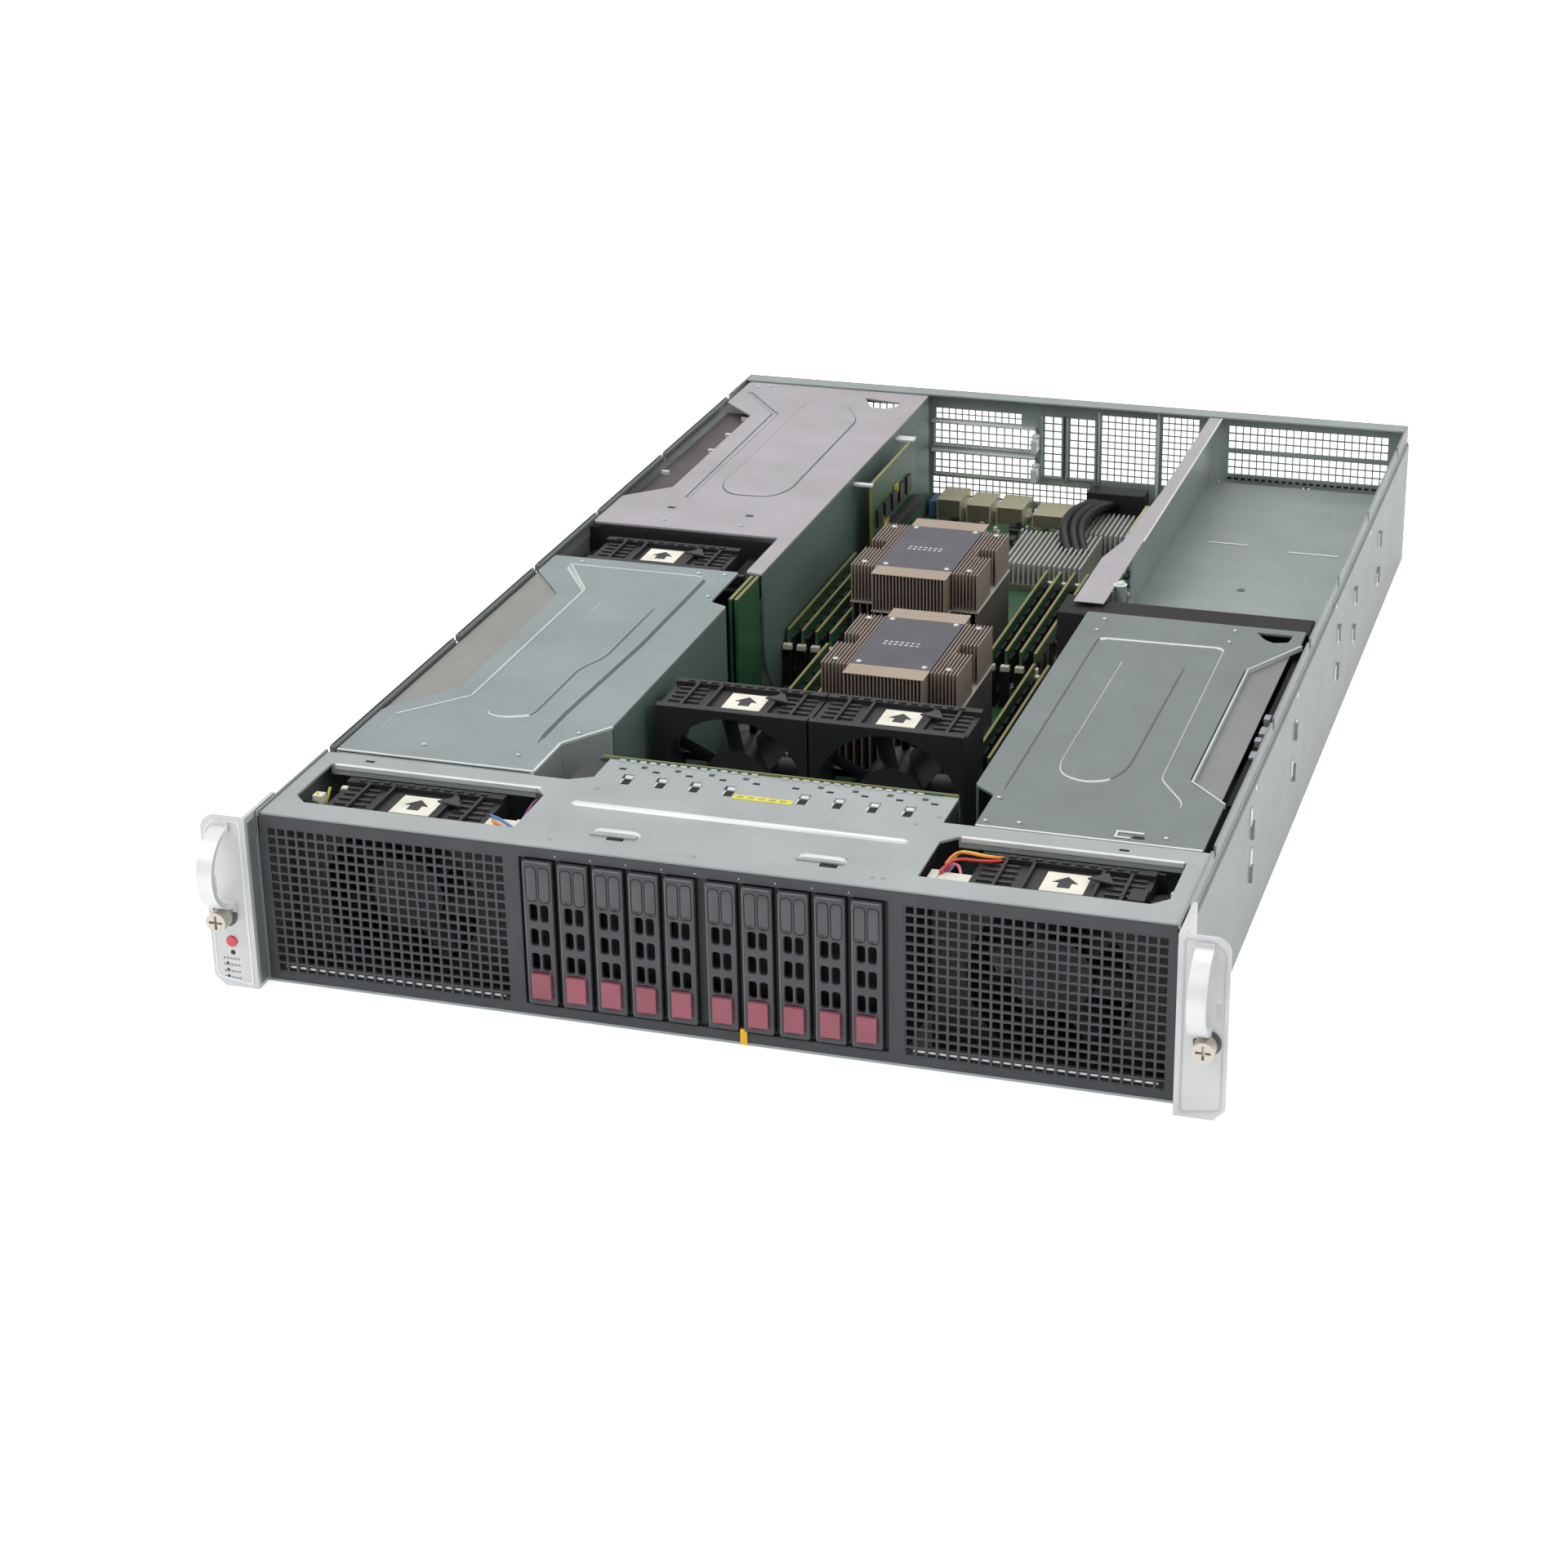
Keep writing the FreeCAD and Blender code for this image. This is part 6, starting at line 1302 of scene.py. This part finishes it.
rear = {
    "half": 216.3, "y": 722.8, "gauge": 1.2, "meshGauge": 0.8,
    "xs": (-216.3, -206, -96, -92, -90, -84, -32, -23, -17, -16, -7, -5, 0, 14, 16, 17, 21, 57, 61, 85, 98.2,
           104, 153.6, 156.4, 206, 211.8, 216.3),
    "zs": (1.2, 3.4, 8.0, 12.0, 15.5, 16.5, 29.0, 32.0, 35.0, 41.8, 45.5, 47.0, 52.0, 58.0, 61.5, 64.0, 65.5,
           68.5, 73.0, 76.0, 79.5, 81.6, 83.0, 88.0),
    "windows": ((-206, 12.0, -96, 76.0), (-90, 32.0, -23, 45.5), (-90, 52.0, -23, 65.5),
                (-90, 68.5, -32, 76.0), (-92, 16.5, 17, 29.0), (-84, 8.0, -32, 15.5), (-17, 35.0, -5, 76.0),
                (0, 35.0, 17, 76.0), (21, 35.0, 57, 79.5), (61, 35.0, 85, 81.6), (104, 47.0, 206, 61.5),
                (104, 64.0, 206, 79.5), (98.2, 1.2, 153.6, 41.8), (156.4, 1.2, 211.8, 41.8),
                (-23, 3.4, 0, 12.0)),
    "meshes": ((-206, 12.0, 110, 64.0, 24, 14), (-90, 68.5, 58, 7.5, 13, 2), (-92, 16.5, 109, 12.5, 24, 3),
               (21, 35.0, 36, 44.5, 8, 10), (61, 35.0, 24, 46.6, 6, 11), (104, 47.0, 102, 14.5, 22, 3),
               (104, 64.0, 102, 15.5, 22, 3), (-23, 3.4, 23, 8.6, 6, 2), (-17, 35.0, 12, 41.0, 2, 8),
               (0, 35.0, 17, 41.0, 3, 8)),
}


def buildRear(look):
    bm = bmesh.new()
    y0, y1 = look["y"], look["y"] + look["gauge"]
    windowPlate(bm, look["xs"], look["zs"], look["windows"], y0, y1)
    addBox(bm, at(-look["half"], 712, 86.8), at(look["half"], 723.6, 88))
    wall = pieceFrom(bm, "rear_wall", "trayZinc", "chassis", 0.2)
    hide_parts("rear_panel")
    for number, (left, base, wide, tall, columns, rows) in enumerate(look["meshes"]):
        field = uprightMesh("rear_mesh_%d" % number, (left, y0 + 0.6, base), (wide, tall), (columns, rows),
                            "trayZinc", 0.84, look["meshGauge"])
        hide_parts("rear_panel")
    for number, base in enumerate((32.0, 52.0)):                   # vented expansion slot covers
        cover = uprightMesh("slot_cover_%d" % number, (-91, y0 - 0.6, base - 1.5), (69, 15.5), (13, 3),
                            "brightZincAndHighlight", 0.82, look["meshGauge"])
        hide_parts("slot_covers")
    frames = []
    base, top = 34, 77
    for start, end in ((-17.5, -4.5), (-0.5, 17.5)):               # frames of the upright covers
        frames += [((start - 1.2, y0 - 4, base), (start, y0, top)),
                   ((end, y0 - 4, base), (end + 1.2, y0, top)),
                   ((start, y0 - 1.5, top - 1.2), (end, y0, top)),
                   ((start, y0 - 1.5, base), (end, y0, base + 1.2))]
    blanks = boxPiece("upright_frames", frames, "trayZinc", bevel=0.3)
    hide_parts("slot_covers")
    bars = (((58.0, y0 - 3, 16), (59.6, y0, 84)), ((19.0, y0 - 2, 34), (20.2, y0, 82)),
            ((-92, y0 - 5, 47.2), (-22, y0, 48.4)), ((-92, y0 - 5, 67.0), (-22, y0, 68.0)))
    boxPiece("rear_frames", bars, "brightZincAndHighlight", bevel=0.3)
    tabs = [((-22.6, 709, z), (-18.8, 722.6, z + 9)) for z in (34, 54)]
    boxPiece("slot_tabs", tabs, "brightZincAndHighlight", bevel=0.4)
    studsAt("rear_screws", [(-20.7, 716, 44.2), (-20.7, 716, 64.2)], 2.6, "brightZincAndHighlight")
    print("rear wall")


ports = ((-82, 16, 14), (-62, 16, 12), (-42, 18, 12), (-18, 22, 9))      # left, width, height


def buildPorts():
    bm = bmesh.new()
    for start, wide, tall in ports:
        addBox(bm, at(start + 0.3, 696, 8.1), at(start + wide - 0.3, 722.6, 8.1 + tall + 0.2))
    pieceFrom(bm, "port_shells", "portMetal", "chassis", 0.4)
    # near-black boxes for the ports' openings: painted shade
    bm = bmesh.new()
    for start, wide, tall in ports:
        for share in (0.28, 0.72):
            middle = start + wide * share
            addBox(bm, at(middle - 3, 722.4, 10.2), at(middle + 3, 723.9, 8.1 + tall - 2))
    pieceFrom(bm, "port_mouths", "shadeAndJointBlack", "chassis", 0.2)
    boxPiece("port_blue", (((-88.5, 700, 8.2), (-84, 718, 19)),), "portBlue", bevel=0.4)
    print("ports")


supplies = {"left": 98.5, "pitch": 58.5, "width": 54.5, "floor": 1.5, "back": 724.0,
            "guard": (4.5, 8.5, 12.5), "spoke": 13.2, "wire": 0.35, "outlet": 13.6}


def buildSupply(number, look):
    body = "power_supply_%d" % number
    left = look["left"] + (number - 1) * look["pitch"]
    x, z = left + 17, look["floor"] + 20                           # the outlet's centre
    back = look["back"]
    bm = bmesh.new()                                            # fan guard: rings and spokes on the outlet
    for radius in look["guard"]:
        points = [at(x + radius * math.cos(turn), back + 0.3, z + radius * math.sin(turn))
                  for turn in [2 * math.pi * step / 32 for step in range(33)]]
        tube(bm, points, look["wire"] * mm, 6)
    for step in range(4):
        turn = step * math.pi / 4
        along = Vector((math.cos(turn), 0, math.sin(turn))) * look["spoke"] * mm
        centre = at(x, back + 0.2, z)
        addRod(bm, centre - along, centre + along, look["wire"] * mm, 6)
    pieceFrom(bm, body + "_guard", "brightZincAndHighlight", body, 0)
    # a near-black disc for the outlet's opening behind the guard: painted shade
    bm = bmesh.new()
    addRod(bm, at(x, back - 0.1, z), at(x, back + 0.12, z), look["outlet"] * mm, 40)
    pieceFrom(bm, body + "_outlet", "shadeAndJointBlack", body, 0)
    inlet = left + look["width"] - 9
    bm = bmesh.new()
    for x, z in ((inlet, 18), (inlet - 3.4, 13), (inlet + 3.4, 13)):
        addBox(bm, at(x - 0.9, back - 13.8, z - 2), at(x + 0.9, back - 3, z + 2))
    pieceFrom(bm, body + "_pins", "goldPlate", body, 0.1)
    lamp = ((left + 3, back, 34), (left + 5, back + 0.4, 36))
    boxPiece(body + "_lamp", (lamp,), "markGrey", body, 0)


walls = {
    "hooks": ((600, 55), (600, 30), (502, 54), (502, 31), (440, 54), (437, 33), (298, 57), (291, 37),
              (168, 64), (172, 41)),
    "domes": ((557, 74), (426, 76), (300, 74), (180, 74)),
}


def buildWalls(look):
    for side in (-1, 1):
        name = "left" if side < 0 else "right"
        domes = [(side * 218.45, y, z) for y, z in look["domes"]]
        studsAt("wall_domes_" + name, domes, 1.5, "brightZincAndHighlight", flatten=(0.3, 1, 1))
        tabs, shades = [], []
        for y, z in look["hooks"]:                            # lanced tabs with a shaded opening behind each
            near, far = sorted((side * 218.4, side * 219.1))
            tabs.append(((near, y - 2.2, z - 4.4), (far, y + 1.4, z + 4.4)))
            near, far = sorted((side * 218.35, side * 218.65))
            shades.append(((near, y + 1.4, z - 4.6), (far, y + 3.2, z + 4.2)))
        boxPiece("wall_tabs_" + name, tabs, "brightZincAndHighlight", bevel=0.25)
        boxPiece("wall_tab_shades_" + name, shades, "darkZincAndShade", bevel=0)
    boxPiece("wall_groove", (((218.3, 6, 79.0), (218.62, 716, 79.7)),), "darkZincAndShade", bevel=0)
    print("side walls")


def buildTray():
    bm = bmesh.new()                                    # flange folded away from the bay, wider at the front, in the pink copy of the zinc with its painted sheen
    outline = ((84.5, 369), (101.3, 369), (101.3, 710.8), (93.5, 710.8), (93.5, 560), (90, 470), (84.5, 440))
    addPrism(bm, [at(x, y, 86.7) for x, y in outline], Vector((0, 0, 0.6 * mm)))
    pieceFrom(bm, "tray_flange", "pinkSheenZinc", "chassis", 0.2)
    boxPiece("tray_rims", (((101.0, 472, 86.8), (102.0, 710.8, 87.5)),), "brightZincAndHighlight", bevel=0.25)
    # thin bright lines on the tray floor: painted highlight on pressed lines
    lines = (((116, 596, 45.0), (140, 597.6, 45.6)), ((166, 590, 45.0), (196, 591.6, 45.6)),
             ((131, 414, 45.0), (178, 415.4, 45.5)))
    boxPiece("tray_lines", lines, "brightZincAndHighlight", bevel=0.2)
    # near-black teeth along the floor's rear edge: painted shade in the serration
    serration = [(106 + 4.4 * step, 719.0, 45.6) for step in range(24)]
    boxesAt("tray_serration", serration, (2.6, 1.2, 1.2), "shadeAndJointBlack")
    bm = bmesh.new()
    addRod(bm, at(150, 520, 45.0), at(150, 520, 45.2), 2.4 * mm, 16)
    pieceFrom(bm, "tray_dot", "darkZincAndShade", "chassis", 0)
    bm = bmesh.new()
    addRod(bm, at(103.6, 400, 86.9), at(103.6, 400, 87.4), 3.8 * mm, 24)
    addRod(bm, at(103.6, 400, 87.4), at(103.6, 400, 88.6), 2.0 * mm, 16)
    pieceFrom(bm, "tray_post_cap", "brightZincAndHighlight", "chassis", 0.15)
    shroud = (((96, 357.2, 83.4), (214, 379.8, 84.9)), ((78, 358, 52), (97, 386, 84.4)))
    boxPiece("shroud_top", shroud, "shroudBlack", bevel=0.4)
    print("card tray")


studio = {
    "floorColour": (0.86, 0.86, 0.86), "floorRoughness": 0.9, "floorReach": 6.0, "floorDrop": 0.0005,
    "glow": 0.62, "worldLevel": 0.72,
    "lamps": {                                  # place, size, power
        "key": ((-1.4, -1.6, 2.2), 1.6, 22),
        "fill": ((1.8, -1.2, 1.2), 1.4, 6),
        "top": ((0.0, 0.9, 2.4), 2.0, 20)},
}


def buildStage(look):
    mesh = bpy.data.meshes.new("floor")
    reach, base = look["floorReach"], -look["floorDrop"]
    corners = [(-reach, -reach, base), (reach, -reach, base), (reach, reach, base), (-reach, reach, base)]
    mesh.from_pydata(corners, [], [(0, 1, 2, 3)])
    floor = bpy.data.objects.new("floor", mesh)
    bpy.context.collection.objects.link(floor)
    material, tree, shader, _ = startFinish("floorWhite")
    shader.inputs["Base Color"].default_value = (*look["floorColour"], 1)
    shader.inputs["Roughness"].default_value = look["floorRoughness"]
    path = tree.nodes.new("ShaderNodeLightPath")
    glow = tree.nodes.new("ShaderNodeEmission")
    glow.inputs["Color"].default_value = (1, 1, 1, 1)
    glow.inputs["Strength"].default_value = look["glow"]
    both = tree.nodes.new("ShaderNodeAddShader")
    link(tree, shader.outputs[0], both.inputs[0])
    link(tree, glow.outputs[0], both.inputs[1])
    seen = tree.nodes.new("ShaderNodeMixShader")
    isSeen = tree.nodes.new("ShaderNodeMath")
    isSeen.operation = "MAXIMUM"
    link(tree, path.outputs["Is Camera Ray"], isSeen.inputs[0])
    link(tree, path.outputs["Is Glossy Ray"], isSeen.inputs[1])
    link(tree, isSeen.outputs[0], seen.inputs["Fac"])
    link(tree, shader.outputs[0], seen.inputs[1])
    link(tree, both.outputs[0], seen.inputs[2])
    link(tree, seen.outputs[0], tree.nodes["Material Output"].inputs["Surface"])
    mesh.materials.append(material)
    world = bpy.data.worlds.new("studio")
    bpy.context.scene.world = world
    world.use_nodes = True
    sky = world.node_tree
    background = sky.nodes["Background"]
    rays = sky.nodes.new("ShaderNodeLightPath")
    level = sky.nodes.new("ShaderNodeMapRange")
    level.inputs["To Min"].default_value = look["worldLevel"]
    level.inputs["To Max"].default_value = 1.0
    link(sky, rays.outputs["Is Camera Ray"], level.inputs["Value"])
    background.inputs["Color"].default_value = (1, 1, 1, 1)
    link(sky, level.outputs["Result"], background.inputs["Strength"])
    for name, (place, size, power) in look["lamps"].items():
        lamp = bpy.data.lights.new(name, "AREA")
        lamp.size = size
        lamp.energy = power
        holder = bpy.data.objects.new(name, lamp)
        holder.location = place
        holder.rotation_euler = (Vector((0, 0, 0)) - Vector(place)).to_track_quat("-Z", "Y").to_euler()
        bpy.context.collection.objects.link(holder)
    print("stage")


camera = {"azimuth": 16.499, "elevation": 23.409, "roll": -0.446, "place": (438.7, -1197.7, 694.5),
          "lens": 72.75, "sensor": 36, "shift": (-0.0609895833, -0.0221354167)}


def buildCamera(look):
    azimuth, elevation, roll = (math.radians(look[key]) for key in ("azimuth", "elevation", "roll"))
    ahead = Vector((-math.sin(azimuth) * math.cos(elevation), math.cos(azimuth) * math.cos(elevation),
                    -math.sin(elevation)))
    right = Vector((math.cos(azimuth), math.sin(azimuth), 0))
    up = right.cross(ahead)
    rightTurned = math.cos(roll) * right + math.sin(roll) * up
    upTurned = -math.sin(roll) * right + math.cos(roll) * up
    data = bpy.data.cameras.new("view")
    data.lens = look["lens"]
    data.sensor_width = look["sensor"]
    data.shift_x, data.shift_y = look["shift"]
    data.clip_end = 50
    holder = bpy.data.objects.new("view", data)
    turn = Matrix((rightTurned, upTurned, -ahead)).transposed().to_4x4()
    holder.matrix_world = Matrix.Translation(at(*look["place"])) @ turn
    bpy.context.collection.objects.link(holder)
    bpy.context.scene.camera = holder
    bpy.context.scene.view_settings.view_transform = "Standard"
    print("camera")


plainNodes = {
    "zinc": ("chassis_floor", "rear_panel", "slot_covers", "power_supply_1", "power_supply_2"),
    # the side walls, the deck and two of the lids take lighter and darker copies of the zinc: painted sheen
    # and painted shade
    "shadedSideZinc": ("side_wall_left", "side_wall_right"),
    "cageZinc": ("drive_cage",),
    "litDeckZinc": ("cage_cover",),
    "trayZinc": ("card_tray",),
    "portMetal": ("io_connectors",),
    "innerZinc": ("gpu_cage_walls",),
    "lidZinc": ("gpu_cover_front_left",),
    "shadedZinc": ("gpu_cover_front_right",),
    "pinkSheenZinc": ("gpu_cover_rear_left",),
    "satinSilver": ("ear_left", "ear_right"),
    "brightSilver": ("handle_left", "handle_right"),
    "nickel": ("thumbscrew_left", "thumbscrew_right"),
    "powerRed": ("power_button", "supply_latch_1", "supply_latch_2"),
    "blackPlastic": ("reset_button", "fan_housings", "fan_leads"),
    "shroudBlack": ("air_shroud",),
    "boardGreen": ("drive_backplane", "motherboard", "memory_modules", "riser_cards"),
    "finMetal": ("heatsinks",),
    "carrierPlastic": tuple("drive_carrier_%d" % number for number in range(1, 11)),
    "releaseRed": tuple("release_button_%d" % number for number in range(1, 11)),
    "chipBlack": ("memory_sockets",) + tuple("fan_impeller_" + place for place in fans["places"]),
}
softEdged = {"ear_left": 0.6, "ear_right": 0.6, "handle_left": 0.5, "handle_right": 0.5, "cage_cover": 0.3,
             "thumbscrew_left": 0.4, "thumbscrew_right": 0.4, "side_wall_right": 0.25,
             "side_wall_left": 0.25}

for finish, names in plainNodes.items():
    for node in names:
        width = 0.35 if node.startswith("release") else softEdged.get(node, 0.0)
        dress(node, finish, width)
print("nodes dressed")

buildFrontPanel(frontPanel)
buildBays()
buildEars(ears)
buildDeck(deck)
buildLids()
buildFans(fans)
for side in (-1, 1):
    buildLead(side, leads)
buildWires()
for name in ("front", "rear"):
    buildCooler(name, *coolers[name], coolers)
buildLowCoolers(lowCoolers)
buildMemory(memory)
buildBoard(boardLook)
buildRisers(risers)
buildRear(rear)
buildPorts()
for number in (1, 2):
    buildSupply(number, supplies)
buildWalls(walls)
buildTray()
buildStage(studio)
buildCamera(camera)
